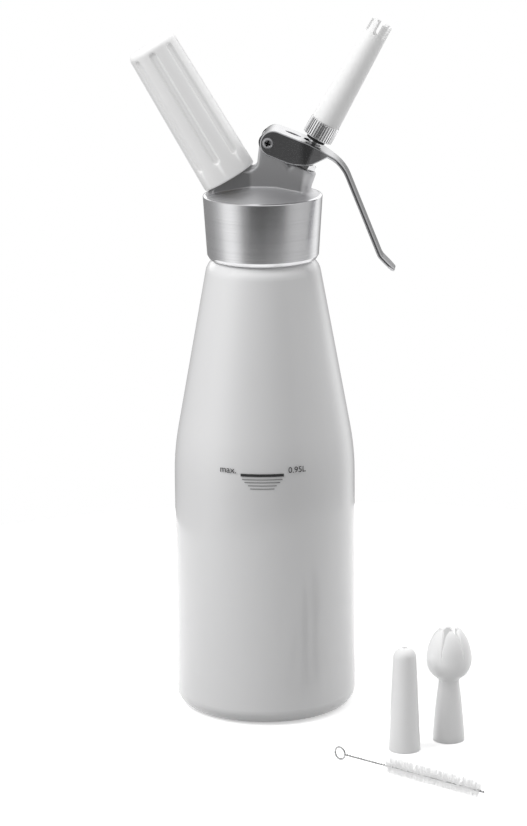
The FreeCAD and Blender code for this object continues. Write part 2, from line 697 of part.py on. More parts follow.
def charger_holder():
    """White screw-on sleeve: tapered, fluted, closed at its top."""
    bore_end = CHARGER_START + CHARGER_LENGTH + HOLDER_BORE_GAP
    shell = revolved([
        (0, SEAT_GAP, 0),
        (HOLDER_MOUTH_RADIUS, SEAT_GAP, HOLDER_MOUTH_ROUND),
        (HOLDER_TOP_RADIUS, HOLDER_LENGTH, HOLDER_TOP_ROUND),
        (0, HOLDER_LENGTH, 0),
    ])
    bore = revolved([
        (0, 0, 0),
        (INSERT_RADIUS, 0, 0),
        (INSERT_RADIUS, SEAT_GAP + INSERT_INSET + INSERT_LENGTH, 0),
        (HOLDER_BORE_RADIUS, SEAT_GAP + INSERT_INSET + INSERT_LENGTH, 0),
        (HOLDER_BORE_RADIUS, bore_end, HOLDER_BORE_RADIUS - CHARGER_WALL),
        (0, bore_end, 0),
    ])
    flutes = turned_copies(holder_flute(), FLUTE_COUNT, FLUTE_PHASE)
    return on_charger_axis(shell.cut([bore] + flutes))


def holder_insert():
    """Metal thread ring moulded into the holder's mouth."""
    low = SEAT_GAP + INSERT_INSET
    return on_charger_axis(tube(INSERT_BORE_RADIUS, INSERT_RADIUS, low, low + INSERT_LENGTH))


# ---- valve side ------------------------------------------------------------------------------
def valve_nut():
    """Gland nut in the mouth of the valve boss; the stem runs through it."""
    body = hexagon(NUT_ACROSS_FLATS, VALVE_BOSS_TOP, VALVE_BOSS_TOP + NUT_HEIGHT)
    corner_bevel = revolved([
        (0, VALVE_BOSS_TOP, 0),
        (NUT_ACROSS_FLATS, VALVE_BOSS_TOP, 0),
        (NUT_ACROSS_FLATS / 2, VALVE_BOSS_TOP + NUT_HEIGHT, 0),
        (0, VALVE_BOSS_TOP + NUT_HEIGHT, 0),
    ])
    spigot = rod(VALVE_BORE_RADIUS - RUNNING_GAP, VALVE_BOSS_TOP - NUT_SPIGOT_LENGTH, VALVE_BOSS_TOP)
    bore = rod(STEM_RADIUS + 2 * RUNNING_GAP, VALVE_BOSS_TOP - NUT_SPIGOT_LENGTH - CUT_OVERRUN,
               VALVE_BOSS_TOP + NUT_HEIGHT + CUT_OVERRUN)
    ring_middle = VALVE_BOSS_TOP - STEM_RING_DEPTH
    groove = rod(stem_ring_radius() + STEM_RING_SECTION, ring_middle - STEM_RING_SECTION,
                 ring_middle + STEM_RING_SECTION)
    return on_valve_axis(body.common(corner_bevel).fuse(spigot).cut([bore, groove]))


def stem_ring_radius():
    return STEM_RADIUS + STEM_RING_GAP + STEM_RING_SECTION


def stem_oring():
    """Rubber ring in the nut's groove, round the stem."""
    centre = Vector(0, 0, VALVE_BOSS_TOP - STEM_RING_DEPTH)
    return on_valve_axis(Part.makeTorus(stem_ring_radius(), STEM_RING_SECTION, centre, Z_AXIS))


def valve_stem():
    """Hollow stem: cream enters its cross holes and leaves at its top."""
    seal_low = VALVE_SEAT - VALVE_SEAL_THICKNESS
    stem = rod(STEM_RADIUS, VALVE_SEAT, STEM_TOP)
    flange = rod(STEM_FLANGE_RADIUS, STEM_FLANGE_TOP - STEM_FLANGE_THICKNESS, STEM_FLANGE_TOP)
    spigot = rod(STEM_SPIGOT_RADIUS, seal_low, VALVE_SEAT)
    bore = rod(STEM_BORE_RADIUS, VALVE_SEAT + STEM_SOLID_END, STEM_TOP + CUT_OVERRUN)
    screw_hole = rod(RETAINER_SHANK_RADIUS, seal_low - CUT_OVERRUN,
                     seal_low + RETAINER_SHANK_LENGTH)
    cross_height = VALVE_SEAT + STEM_SOLID_END + STEM_CROSS_HOLE_RADIUS
    cross_hole = Part.makeCylinder(STEM_CROSS_HOLE_RADIUS, 4 * STEM_RADIUS,
                                   Vector(-2 * STEM_RADIUS, 0, cross_height), X_AXIS)
    cross_holes = crossed(cross_hole)
    return on_valve_axis(stem.multiFuse([flange, spigot]).cut([bore, screw_hole] + cross_holes))


def valve_seal():
    """Rubber disc that closes on the head's seat from inside."""
    return on_valve_axis(tube(STEM_SPIGOT_RADIUS, VALVE_SEAL_RADIUS,
                              VALVE_SEAT - VALVE_SEAL_THICKNESS, VALVE_SEAT))


def seal_retainer():
    """Screw with a wide head that holds the valve seal on the stem."""
    top = VALVE_SEAT - VALVE_SEAL_THICKNESS
    screw = revolved([
        (0, top - RETAINER_HEAD_THICKNESS, 0),
        (RETAINER_HEAD_RADIUS, top - RETAINER_HEAD_THICKNESS, RETAINER_HEAD_THICKNESS / 3),
        (RETAINER_HEAD_RADIUS, top, 0),
        (RETAINER_SHANK_RADIUS, top, 0),
        (RETAINER_SHANK_RADIUS, top + RETAINER_SHANK_LENGTH, 0),
        (0, top + RETAINER_SHANK_LENGTH, 0),
    ])
    return on_valve_axis(screw)


def stem_collar():
    """Collar with a domed top that the lever's web bears on."""
    dome_top = web_underside_on_axis() - COLLAR_GAP
    blank = tube(STEM_RADIUS, COLLAR_RADIUS, COLLAR_FOOT, dome_top)
    ball = Part.makeSphere(COLLAR_DOME_RADIUS, Vector(0, 0, dome_top - COLLAR_DOME_RADIUS))
    return on_valve_axis(blank.common(ball))


def web_underside_on_axis():
    """Where the valve's axis meets the web's underside, from the adapter's foot."""
    web = math.radians(WEB_TILT)
    valve = math.radians(VALVE_TILT)
    foot_x = ADAPTER_FOOT_X - PIVOT_X
    foot_z = ADAPTER_FOOT_Z - PIVOT_Z
    height = foot_x * math.sin(web) + foot_z * math.cos(web)
    return (WEB_HEIGHT - LEVER_SHEET - height) / math.cos(valve - web)


def valve_spring():
    """Open coil spring between the bore's floor and the stem's flange."""
    low = VALVE_BORE_FLOOR + SPRING_WIRE_RADIUS + RUNNING_GAP
    high = STEM_FLANGE_TOP - STEM_FLANGE_THICKNESS - SPRING_WIRE_RADIUS - RUNNING_GAP
    coil_radius = (STEM_RADIUS + VALVE_BORE_RADIUS) / 2
    pitch = (high - low) / SPRING_TURNS
    helix = Part.makeHelix(pitch, high - low, coil_radius)
    helix.translate(Vector(0, 0, low))
    section = Part.makeCircle(SPRING_WIRE_RADIUS, Vector(coil_radius, 0, low), Y_AXIS)
    return on_valve_axis(Part.Wire(helix).makePipeShell([Part.Wire(section)], True, True))


def tip_adapter():
    """Collar that screws on the stem and carries the decorating tip on its spigot."""
    body = revolved([
        (0, 0, 0),
        (ADAPTER_RADIUS, 0, ADAPTER_EDGE_ROUND),
        (ADAPTER_RADIUS, ADAPTER_HEIGHT, ADAPTER_EDGE_ROUND),
        (SPIGOT_RADIUS, ADAPTER_HEIGHT, 0),
        (SPIGOT_RADIUS, ADAPTER_HEIGHT + SPIGOT_LENGTH, ADAPTER_EDGE_ROUND),
        (0, ADAPTER_HEIGHT + SPIGOT_LENGTH, 0),
    ])
    stem_socket = rod(STEM_RADIUS + THREAD_GAP, -CUT_OVERRUN, STEM_TOP + THREAD_GAP)
    way_out = rod(SPIGOT_BORE_RADIUS, 0, ADAPTER_HEIGHT + SPIGOT_LENGTH + CUT_OVERRUN)
    return on_valve_axis(body.cut([stem_socket, way_out]))


def adapter_seal():
    """Black rubber ring under the adapter."""
    return on_valve_axis(tube(STEM_RADIUS + THREAD_GAP, ADAPTER_SEAL_RADIUS,
                              -ADAPTER_SEAL_THICKNESS, 0))


def tip_shell(length, foot_radius, end_radius):
    """Tapered hollow tip standing on its mouth, with a round socket for a spigot."""
    outer = Part.makeCone(foot_radius, end_radius, length)
    bore = Part.makeCone(TIP_SOCKET_RADIUS, end_radius - TIP_WALL, length - TIP_SOCKET_LENGTH,
                         Vector(0, 0, TIP_SOCKET_LENGTH))
    socket = rod(TIP_SOCKET_RADIUS, -CUT_OVERRUN, TIP_SOCKET_LENGTH)
    return outer.cut([bore, socket])


def star_slot():
    """Cutter for one slot of the star tip's end, with a round bottom."""
    half = STAR_SLOT_WIDTH / 2
    low = STAR_TIP_LENGTH - STAR_SLOT_DEPTH
    outline = Part.Face(rounded_wire([
        (-half, low, half * FULL_ROUND),
        (half, low, half * FULL_ROUND),
        (half, STAR_TIP_LENGTH + CUT_OVERRUN, 0),
        (-half, STAR_TIP_LENGTH + CUT_OVERRUN, 0),
    ]))
    return outline.extrude(Vector(0, -STAR_TIP_FOOT_RADIUS, 0))


def star_tip():
    tip = tip_shell(STAR_TIP_LENGTH, STAR_TIP_FOOT_RADIUS, STAR_TIP_END_RADIUS)
    tip = tip.cut(turned_copies(star_slot(), STAR_SLOT_COUNT, STAR_SLOT_PHASE))
    tip.translate(Vector(0, 0, ADAPTER_HEIGHT))
    return on_valve_axis(tip)


# ---- lever -------------------------------------------------------------------------------------
def heading(degrees):
    """Unit vector in the lever's plane, so many degrees below its web."""
    turn = math.radians(degrees)
    return Vector(math.cos(turn), 0, -math.sin(turn))


def strip_bends(inset):
    """Corner points of the strip's outer line, or of the line set in by a thickness."""
    headings = [0, SHOULDER_BEND, SHOULDER_BEND + ELBOW_BEND,
                SHOULDER_BEND + ELBOW_BEND - KICK_BEND]
    runs = [SHOULDER_RUN, HANDLE_RUN, KICK_RUN]
    points = [Vector(EAR_END_X, 0, WEB_HEIGHT), Vector(SHOULDER_X, 0, WEB_HEIGHT)]
    for degrees, run in zip(headings[1:], runs):
        points.append(points[-1] + heading(degrees) * run)
    inset_points = []
    for index, point in enumerate(points):
        before = headings[max(index - 1, 0)]
        after = headings[min(index, len(headings) - 1)]
        half_turn = math.radians(after - before) / 2
        normal = heading((before + after) / 2 + HALF_TURN / 2)
        inset_points.append(point + normal * (inset / math.cos(half_turn)))
    return inset_points


def strip_outline():
    """Side view of the pressed strip: web, shoulder, elbow, straight handle and kicked end."""
    outer = strip_bends(0)
    inner = strip_bends(LEVER_SHEET)
    outer_rounds = [0, SHOULDER_BEND_ROUND, ELBOW_ROUND, KICK_ROUND - LEVER_SHEET,
                    LEVER_SHEET / 2 * FULL_ROUND]
    inner_rounds = [0, SHOULDER_BEND_ROUND - LEVER_SHEET, ELBOW_ROUND - LEVER_SHEET,
                    KICK_ROUND, LEVER_SHEET / 2 * FULL_ROUND]
    corners = [(point.x, point.z, turn) for point, turn in zip(outer, outer_rounds)]
    back = [(point.x, point.z, turn) for point, turn in zip(inner, inner_rounds)]
    return corners + back[::-1]


def ear_outline():
    """Side view of one ear, from its round end to the tip that runs out under the shoulder."""
    top = WEB_HEIGHT
    low = WEB_HEIGHT - 2 * EAR_END_RADIUS
    left = EAR_END_X - EAR_END_RADIUS
    round_end = EAR_END_RADIUS * FULL_ROUND
    return [
        (left, top, round_end),
        (left, low, round_end),
        (EAR_LOW_BEND_X, low, ELBOW_ROUND),
        (EAR_RISE_X, EAR_RISE_Z, ELBOW_ROUND / 2),
        (EAR_TIP_X, EAR_TIP_Z, 0),
        (SHOULDER_X, top, 0),
    ]


def lever_plan(inset=0.0):
    """Lever's outline from above, or that of what is between its walls; the waist narrows it."""
    far = strip_bends(0)[-1].x + CUT_OVERRUN
    left = EAR_END_X - EAR_END_RADIUS - CUT_OVERRUN
    half_web, half_handle = EAR_OUTER - inset, HANDLE_WIDTH / 2 - inset
    waist = (WAIST_END - WAIST_START) / 2
    sides = [
        (left, -half_web, 0), (WAIST_START, -half_web, waist), (WAIST_END, -half_handle, waist),
        (far, -half_handle, half_handle * SOFT_ROUND), (far, half_handle, half_handle * SOFT_ROUND),
        (WAIST_END, half_handle, waist), (WAIST_START, half_web, waist), (left, half_web, 0),
    ]
    height = HANDLE_RUN + KICK_RUN
    prism = plate(sides, height)
    prism.rotate(ORIGIN, X_AXIS, -HALF_TURN / 2)
    return prism


def stem_slot():
    """Slot in the web that the stem passes; longer towards the pivot for the lever's swing."""
    valve = math.radians(VALVE_TILT - WEB_TILT)
    crossing = valve_crossing()
    swing = math.radians(LEVER_SWING) * WEB_HEIGHT + STEM_SLOT_GAP
    radius = STEM_RADIUS + STEM_SLOT_GAP + LEVER_SHEET * math.tan(valve) / 2
    slot = rod(radius, 0, 2 * WEB_HEIGHT)
    end = slot.copy()
    end.translate(Vector(-swing, 0, 0))
    middle = Part.makeBox(swing, 2 * radius, 2 * WEB_HEIGHT, Vector(-swing, -radius, 0))
    tool = slot.multiFuse([end, middle])
    tool.translate(Vector(crossing, 0, 0))
    return tool


def valve_crossing():
    """Distance along the web from the pivot to where the valve's axis crosses its middle."""
    web = math.radians(WEB_TILT)
    valve = math.radians(VALVE_TILT)
    foot_x = ADAPTER_FOOT_X - PIVOT_X
    foot_z = ADAPTER_FOOT_Z - PIVOT_Z
    along = foot_x * math.cos(web) - foot_z * math.sin(web)
    middle = web_underside_on_axis() + LEVER_SHEET / 2
    return along + middle * math.sin(valve - web)


def web_dimple():
    """Shallow pressed oval on the web."""
    half_length, half_width = DIMPLE_LENGTH / 2, DIMPLE_WIDTH / 2
    oval = Part.Wire(Part.Ellipse(Vector(0, 0, 0), half_length, half_width).toShape())
    tool = Part.Face(oval).extrude(Vector(0, 0, WEB_HEIGHT))
    tool.translate(Vector(DIMPLE_X, 0, WEB_HEIGHT - DIMPLE_DEPTH))
    return tool


def channel_pocket():
    """What is open between the ears: all below the web, and all before the web starts."""
    inner_top = WEB_HEIGHT - LEVER_SHEET
    shoulder = heading(SHOULDER_BEND)
    drop = shoulder.z / shoulder.x * (EAR_TIP_X + CUT_OVERRUN - SHOULDER_X)
    wrap = math.radians(WEB_WRAP)
    inner_radius = EAR_END_RADIUS - LEVER_SHEET
    open_radius = EAR_END_RADIUS + CUT_OVERRUN
    axis_z = WEB_HEIGHT - EAR_END_RADIUS
    far_left = EAR_END_X - 2 * EAR_END_RADIUS
    return plate([
        (far_left, -2 * EAR_END_RADIUS, 0),
        (EAR_TIP_X + CUT_OVERRUN, -2 * EAR_END_RADIUS, 0),
        (EAR_TIP_X + CUT_OVERRUN, inner_top + drop, 0),
        (SHOULDER_X, inner_top, 0),
        (EAR_END_X - inner_radius * math.tan(wrap / 2), inner_top, inner_radius * FULL_ROUND),
        (EAR_END_X - inner_radius * math.sin(wrap), axis_z + inner_radius * math.cos(wrap), 0),
        (EAR_END_X - open_radius * math.sin(wrap), axis_z + open_radius * math.cos(wrap), 0),
        (far_left, axis_z + open_radius * math.cos(wrap), 0),
    ], EAR_INNER)


def is_upper_rim(blank, edge):
    """Whether the lever's upper face meets one of its two outer sides at an edge."""
    sides = [face for face in blank.Faces if any(edge.isSame(other) for other in face.Edges)]
    if len(sides) < 2:
        return False
    place = edge.valueAt((edge.FirstParameter + edge.LastParameter) / 2)
    first, second = [side.normalAt(*side.Surface.parameter(place)) for side in sides]
    upper, outer = (first, second) if abs(first.y) < abs(second.y) else (second, first)
    flat = math.sin(math.radians(SMOOTH_ENOUGH))
    faces_up = abs(upper.y) < flat and upper.z > flat
    return faces_up and abs(outer.z) < flat and outer.y * place.y > 0


def rimmed(blank):
    """Round the lever's upper rims; they stay sharp where its sizes leave no room."""
    rims = [edge for edge in blank.Edges if is_upper_rim(blank, edge)]
    try:
        rounded = blank.makeFillet(LEVER_EDGE_ROUND, rims)
    except Part.OCCError:
        return blank
    return rounded if rounded.isValid() else blank


def lever():
    """Pressed lever: a channel with two ears at the head, drawn out into a curved strip."""
    channel = plate(ear_outline(), EAR_OUTER)
    strip = plate(strip_outline(), EAR_OUTER)
    pocket = channel_pocket().common(lever_plan(LEVER_SHEET))
    blank = rimmed(channel.fuse(strip).cut(pocket).common(lever_plan()).removeSplitter())
    screw_hole = rod(SCREW_RADIUS + SCREW_HOLE_GAP, -2 * EAR_OUTER, 2 * EAR_OUTER)
    screw_hole.rotate(ORIGIN, X_AXIS, -HALF_TURN / 2)
    blank = blank.cut([screw_hole, stem_slot(), web_dimple()]).removeSplitter()
    return on_pivot(blank)


def pivot_sleeve():
    """Bearing sleeve between the ears; it turns in the lug's bore."""
    return along_pivot(tube(SCREW_RADIUS + SCREW_HOLE_GAP, SLEEVE_RADIUS, -EAR_INNER, EAR_INNER))


def pivot_washers():
    """Thin washers between the ears and the lug."""
    inner = SLEEVE_RADIUS + RUNNING_GAP
    front = tube(inner, WASHER_RADIUS, -EAR_INNER, -EAR_INNER + WASHER_THICKNESS)
    back = tube(inner, WASHER_RADIUS, EAR_INNER - WASHER_THICKNESS, EAR_INNER)
    return along_pivot(Part.makeCompound([front, back]))


def pivot_screw():
    """Round-headed cross-recess screw; its head is at the front."""
    front = EAR_OUTER
    screw = revolved([
        (0, -front - PIVOT_NUT_HEIGHT, 0),
        (SCREW_RADIUS, -front - PIVOT_NUT_HEIGHT, 0),
        (SCREW_RADIUS, front, 0),
        (SCREW_HEAD_RADIUS, front, 0),
        (SCREW_HEAD_RADIUS, front + SCREW_HEAD_HEIGHT, SCREW_HEAD_HEIGHT * SOFT_ROUND),
        (0, front + SCREW_HEAD_HEIGHT, 0),
    ])
    recess_floor = front + SCREW_HEAD_HEIGHT - CROSS_RECESS_DEPTH
    blade = Part.makeBox(CROSS_RECESS_LENGTH, CROSS_RECESS_WIDTH, SCREW_HEAD_HEIGHT,
                         Vector(-CROSS_RECESS_LENGTH / 2, -CROSS_RECESS_WIDTH / 2, recess_floor))
    screw = screw.cut(crossed(blade))
    screw.rotate(ORIGIN, X_AXIS, HALF_TURN)
    return along_pivot(screw)


def pivot_nut():
    """Hexagonal nut on the far end of the pivot screw."""
    nut = hexagon(PIVOT_NUT_ACROSS_FLATS, EAR_OUTER, EAR_OUTER + PIVOT_NUT_HEIGHT)
    bore = rod(SCREW_RADIUS, EAR_OUTER - CUT_OVERRUN, EAR_OUTER + 2 * PIVOT_NUT_HEIGHT)
    return along_pivot(nut.cut(bore))


# ---- what stands and lies beside the bottle --------------------------------------------------
def plain_tip():
    """Spare round-nosed tip, standing on its mouth."""
    nose_foot = PLAIN_TIP_LENGTH - PLAIN_TIP_DOME
    nose_hollow = PLAIN_TIP_END_RADIUS - TIP_WALL
    outer = revolved([
        (0, 0, 0),
        (PLAIN_TIP_FOOT_RADIUS, 0, 0),
        (PLAIN_TIP_END_RADIUS, PLAIN_TIP_LENGTH, PLAIN_TIP_END_RADIUS * SOFT_ROUND),
        (0, PLAIN_TIP_LENGTH, 0),
    ])
    inner = revolved([
        (0, -CUT_OVERRUN, 0),
        (TIP_SOCKET_RADIUS, -CUT_OVERRUN, 0),
        (TIP_SOCKET_RADIUS, TIP_SOCKET_LENGTH, 0),
        (nose_hollow, nose_foot + nose_hollow, nose_hollow * SOFT_ROUND),
        (0, nose_foot + nose_hollow, 0),
    ])
    hole = rod(PLAIN_TIP_HOLE_RADIUS, 0, PLAIN_TIP_LENGTH + CUT_OVERRUN)
    tip = outer.cut([inner, hole])
    tip.translate(Vector(PLAIN_TIP_X, PLAIN_TIP_Y, 0))
    return tip


def tulip_outline(wall):
    """Upper half section of the tulip tip, or of its hollow when a wall is given."""
    half_bulb = (TULIP_BULB_HEIGHT + TULIP_LENGTH) / 2
    return [
        (TULIP_WAIST_RADIUS - wall, TULIP_WAIST_HEIGHT, TIP_WALL),
        (TULIP_BULB_SHOULDER_RADIUS - wall, TULIP_BULB_SHOULDER_HEIGHT, TIP_WALL),
        (TULIP_BULB_RADIUS - wall, TULIP_BULB_HEIGHT - TIP_WALL, TULIP_WAIST_RADIUS),
        (TULIP_BULB_RADIUS - wall - TIP_WALL, half_bulb, TULIP_BULB_RADIUS),
        (TULIP_END_RADIUS - wall, TULIP_LENGTH, 0),
    ]


def tulip_petal_cut():
    """Cutter between two petals: a narrow V, open at the top."""
    half = TULIP_CUT_WIDTH / 2
    outline = Part.Face(rounded_wire([
        (0, TULIP_CUT_FLOOR, TULIP_CUT_ROUND),
        (half, TULIP_LENGTH + CUT_OVERRUN, 0),
        (-half, TULIP_LENGTH + CUT_OVERRUN, 0),
    ]))
    return outline.extrude(Vector(0, -2 * TULIP_BULB_RADIUS, 0))


def tulip_tip():
    """Spare petal-ended tip, standing on its mouth."""
    outer = revolved([(0, 0, 0), (TULIP_FOOT_RADIUS, 0, 0)] + tulip_outline(0)
                     + [(0, TULIP_LENGTH, 0)])
    inner = revolved([(0, -CUT_OVERRUN, 0), (TIP_SOCKET_RADIUS, -CUT_OVERRUN, 0),
                      (TIP_SOCKET_RADIUS, TIP_SOCKET_LENGTH, 0)] + tulip_outline(TIP_WALL)
                     + [(TULIP_END_RADIUS - TIP_WALL, TULIP_LENGTH + CUT_OVERRUN, 0),
                        (0, TULIP_LENGTH + CUT_OVERRUN, 0)])
    petal_cuts = turned_copies(tulip_petal_cut(), TULIP_PETALS, TULIP_CUT_PHASE)
    tip = outer.cut([inner] + petal_cuts)
    tip.translate(Vector(TULIP_TIP_X, TULIP_TIP_Y, 0))
    return tip


def on_brush_axis(shape):
    """Lay a shape drawn on Z down along the brush, with the ring's centre as its zero."""
    shape.rotate(ORIGIN, Y_AXIS, HALF_TURN / 2)
    shape.rotate(ORIGIN, Z_AXIS, BRUSH_HEADING)
    shape.translate(Vector(BRUSH_RING_X, BRUSH_RING_Y, BRUSH_RADIUS))
    return shape


def brush_wire():
    """Wire handle, bent to a ring at one end."""
    ring_radius = BRUSH_RADIUS - RING_WIRE_RADIUS
    ring = Part.makeTorus(ring_radius, RING_WIRE_RADIUS, ORIGIN, Y_AXIS)
    shaft = rod(WIRE_RADIUS, ring_radius, BRUSH_LENGTH)
    return on_brush_axis(ring.fuse(shaft))


def brush_bristles():
    """Bristles as a row of ridges round the wire."""
    turns = round((BRISTLE_END - BRISTLE_START) / BRISTLE_PITCH)
    pitch = (BRISTLE_END - BRISTLE_START) / turns
    corners = [(WIRE_RADIUS, BRISTLE_START, 0)]
    for turn in range(turns):
        low = BRISTLE_START + turn * pitch
        corners.append((BRISTLE_ROOT_RADIUS, low, 0))
        corners.append((BRUSH_RADIUS, low + pitch * BRISTLE_SLOPE, 0))
        corners.append((BRUSH_RADIUS, low + pitch * (1 - BRISTLE_SLOPE), 0))
    corners.append((BRISTLE_ROOT_RADIUS, BRISTLE_END, 0))
    corners.append((WIRE_RADIUS, BRISTLE_END, 0))
    return on_brush_axis(revolved(corners))


NODES = [
    bottle, head, head_gasket, piercer_body, piercing_pin, piercer_seal, gas_check_valve,
    charger_bulb, charger_holder, holder_insert, valve_nut, stem_oring, valve_stem, valve_seal,
    seal_retainer, stem_collar, valve_spring, tip_adapter, adapter_seal, star_tip, lever,
    pivot_sleeve, pivot_washers, pivot_screw, pivot_nut, plain_tip, tulip_tip, brush_wire,
    brush_bristles,
]


def main():
    os.makedirs("parts", exist_ok=True)
    for make in NODES:
        shape = make()
        shape.exportStep("parts/" + make.__name__ + ".step")
        print(make.__name__, "solids", len(shape.Solids), "volume", round(shape.Volume, 2),
              "valid", shape.isValid())


main()
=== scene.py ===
import json
import math
import random
from contextlib import contextmanager

import bmesh
import bpy
from bpy.props import (FloatProperty, FloatVectorProperty, IntProperty, PointerProperty,
                       StringProperty)
from bpy.types import Operator, Panel, PropertyGroup
from mathutils import Matrix, Vector


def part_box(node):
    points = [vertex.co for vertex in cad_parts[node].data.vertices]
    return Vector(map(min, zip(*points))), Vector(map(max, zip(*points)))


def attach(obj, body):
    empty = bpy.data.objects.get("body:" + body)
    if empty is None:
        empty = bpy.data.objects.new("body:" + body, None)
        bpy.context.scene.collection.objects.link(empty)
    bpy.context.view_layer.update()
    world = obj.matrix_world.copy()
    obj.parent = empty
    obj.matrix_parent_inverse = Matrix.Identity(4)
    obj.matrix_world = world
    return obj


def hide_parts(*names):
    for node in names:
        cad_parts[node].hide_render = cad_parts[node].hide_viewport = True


bl_info = {
    "name": "Whipped Cream Dispenser",
    "version": (1, 0, 0),
    "blender": (4, 5, 0),
    "location": "3D View > Sidebar > Dispenser",
    "description": "Dresses a whipped cream dispenser: bottle, cast head, lever, tips and brush",
    "category": "Mesh",
}

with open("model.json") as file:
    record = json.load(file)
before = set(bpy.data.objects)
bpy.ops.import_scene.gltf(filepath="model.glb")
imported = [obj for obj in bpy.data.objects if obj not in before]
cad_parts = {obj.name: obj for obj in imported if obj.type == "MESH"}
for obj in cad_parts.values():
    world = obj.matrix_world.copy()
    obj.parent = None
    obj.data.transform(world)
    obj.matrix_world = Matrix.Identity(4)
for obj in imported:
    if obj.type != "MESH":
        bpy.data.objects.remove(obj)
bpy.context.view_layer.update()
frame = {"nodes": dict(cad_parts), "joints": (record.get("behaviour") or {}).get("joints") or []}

MM = 0.001
Y_AXIS = Vector((0, 1, 0))
Z_AXIS = Vector((0, 0, 1))
FULL_TURN = 2 * math.pi
QUARTER_TURN = math.pi / 2
SAME_PLACE = 2e-6
MERGE_DISTANCE = 1e-6
ARC_STEP = math.radians(12)

JOINTS = {joint["name"]: joint for joint in frame["joints"]}
VALVE_AXIS = Vector(JOINTS["adapter_unscrew"]["axis"])
CHARGER_AXIS = Vector(JOINTS["holder_unscrew"]["axis"])
PIVOT = Vector(JOINTS["lever_squeeze"]["pos_m"])
BOTTLE_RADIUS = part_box("bottle")[1].x


# ---- sizes and colours that a user would change -----------------------------------------
def length(name, description, default, least=0.0):
    """A size, given in millimetres and kept in metres."""
    return FloatProperty(name=name, description=description, default=default * MM,
                         min=least * MM, unit="LENGTH", precision=5)


def spot(name, description, *place):
    """A place, given in millimetres and kept in metres."""
    return FloatVectorProperty(name=name, description=description,
                               default=[part * MM for part in place], subtype="TRANSLATION")


def angle(name, description, degrees):
    """An angle, given in degrees and kept in radians."""
    return FloatProperty(name=name, description=description, default=math.radians(degrees),
                         subtype="ANGLE")


def colour(name, description, *default):
    """A linear colour."""
    return FloatVectorProperty(name=name, description=description, default=default, size=3,
                               subtype="COLOR", min=0.0, max=1.0)


def share(name, description, default):
    """A number from 0 to 1."""
    return FloatProperty(name=name, description=description, default=default, min=0.0, max=1.0,
                         subtype="FACTOR")


def count(name, description, default, least, most):
    """A whole number."""
    return IntProperty(name=name, description=description, default=default, min=least, max=most)


class BottleSettings(PropertyGroup):
    """The lacquered bottle and the fill mark on it."""
    lacquer: colour("Lacquer", "Colour of the white lacquer", 0.76, 0.76, 0.765)
    mark_ink: colour("Mark ink", "Colour of the printed fill mark", 0.012, 0.012, 0.013)
    pale_ink: colour("Pale ink", "Colour of the fine lines under the mark", 0.2, 0.2, 0.2)
    mark_height: length("Mark height", "Height of the fill line above the foot", 138.8)
    bar_length: length("Bar length", "Length of the fill line round the bottle", 23.0)
    bar_width: length("Bar width", "Height of the fill line's stroke", 1.5)
    letter_height: length("Letter height", "Size of the capacity text", 4.5)
    word_rise: length("Word rise", "Height of the text's middle above the fill line", 2.3)
    full_text: StringProperty(name="Full mark", description="Word before the line",
                              default="max.")
    volume_text: StringProperty(name="Volume", description="Capacity after the line",
                                default="0.95L")


class HeadSettings(PropertyGroup):
    """The turned skirt and the cast top of the head."""
    skirt_low: length("Skirt bottom", "Height of the skirt's lower edge", 246.0)
    skirt_split: length("Skirt top", "Height where the skirt meets the casting", 277.4)
    skirt_low_radius: length("Skirt low radius", "Radius above the lower chamfer", 29.7)
    skirt_top_radius: length("Skirt top radius", "Skirt's radius at its upper edge", 31.75)
    skirt_full_height: length("Skirt rim", "Height of the rim before it is rounded", 279.6)
    bore_radius: length("Bore radius", "Radius of the threaded bore", 25.9)
    recess_radius: length("Recess radius", "Radius of the recess inside the head", 21.5)
    gasket_seat: length("Gasket seat", "Height of the face over the gasket", 274.5)
    grain: length("Casting grain", "Cell size of the smoothed casting", 0.42)
    cheek: length("Cheek", "Half the casting's thickness over its flat cheeks", 9.0)
    # Painted shade: the casting's cheek is painted darker left of this edge, over the charger
    # boss.
    boss_shade_edge: length("Boss edge", "Where the duller charger boss ends, along X", -5.3, -50.0)
    dome_top: length("Dome top", "Height of the dome's middle", 284.3)
    dome_flat: length("Dome flat", "Radius of the dome's flat middle", 12.0)
    dome_slope: share("Dome slope", "Fall of the dome for each step outwards", 0.238)
    cheek_clearance: length("Cheek foot", "Height over the dome where the cheeks start", 0.6)
    soften: count("Softening", "Rounds of smoothing on the casting", 26, 0, 60)
    skirt_metal: colour("Skirt metal", "Colour of the turned metal", 0.62, 0.62, 0.63)
    cast_metal: colour("Cast metal", "Colour of the satin casting", 0.6, 0.6, 0.61)


class LeverSettings(PropertyGroup):
    """The pressed squeeze lever."""
    edge_round: length("Edge rounding", "Rounding of the pressed sheet's edges", 0.45)
    tilt: angle("Tilt", "Fall of the web at rest", 21.6)
    ear_radius: length("Ear radius", "Radius of the ears' round ends", 7.0)
    ear_centre: spot("Ear centre", "Centre of the ears' ends from the pivot", 2.73, 0.0, 0.46)
    web_width: length("Web width", "Width of the lip round the ears' ends", 21.0)
    # Painted shade: the lever's waist between these two is painted darker.
    waist_shade_start: length("Waist start", "Where the duller waist begins, along X", 20.0)
    waist_shade_end: length("Waist end", "Where the duller waist ends, along X", 35.0)
    metal: colour("Lever metal", "Colour of the polished sheet", 0.44, 0.44, 0.45)


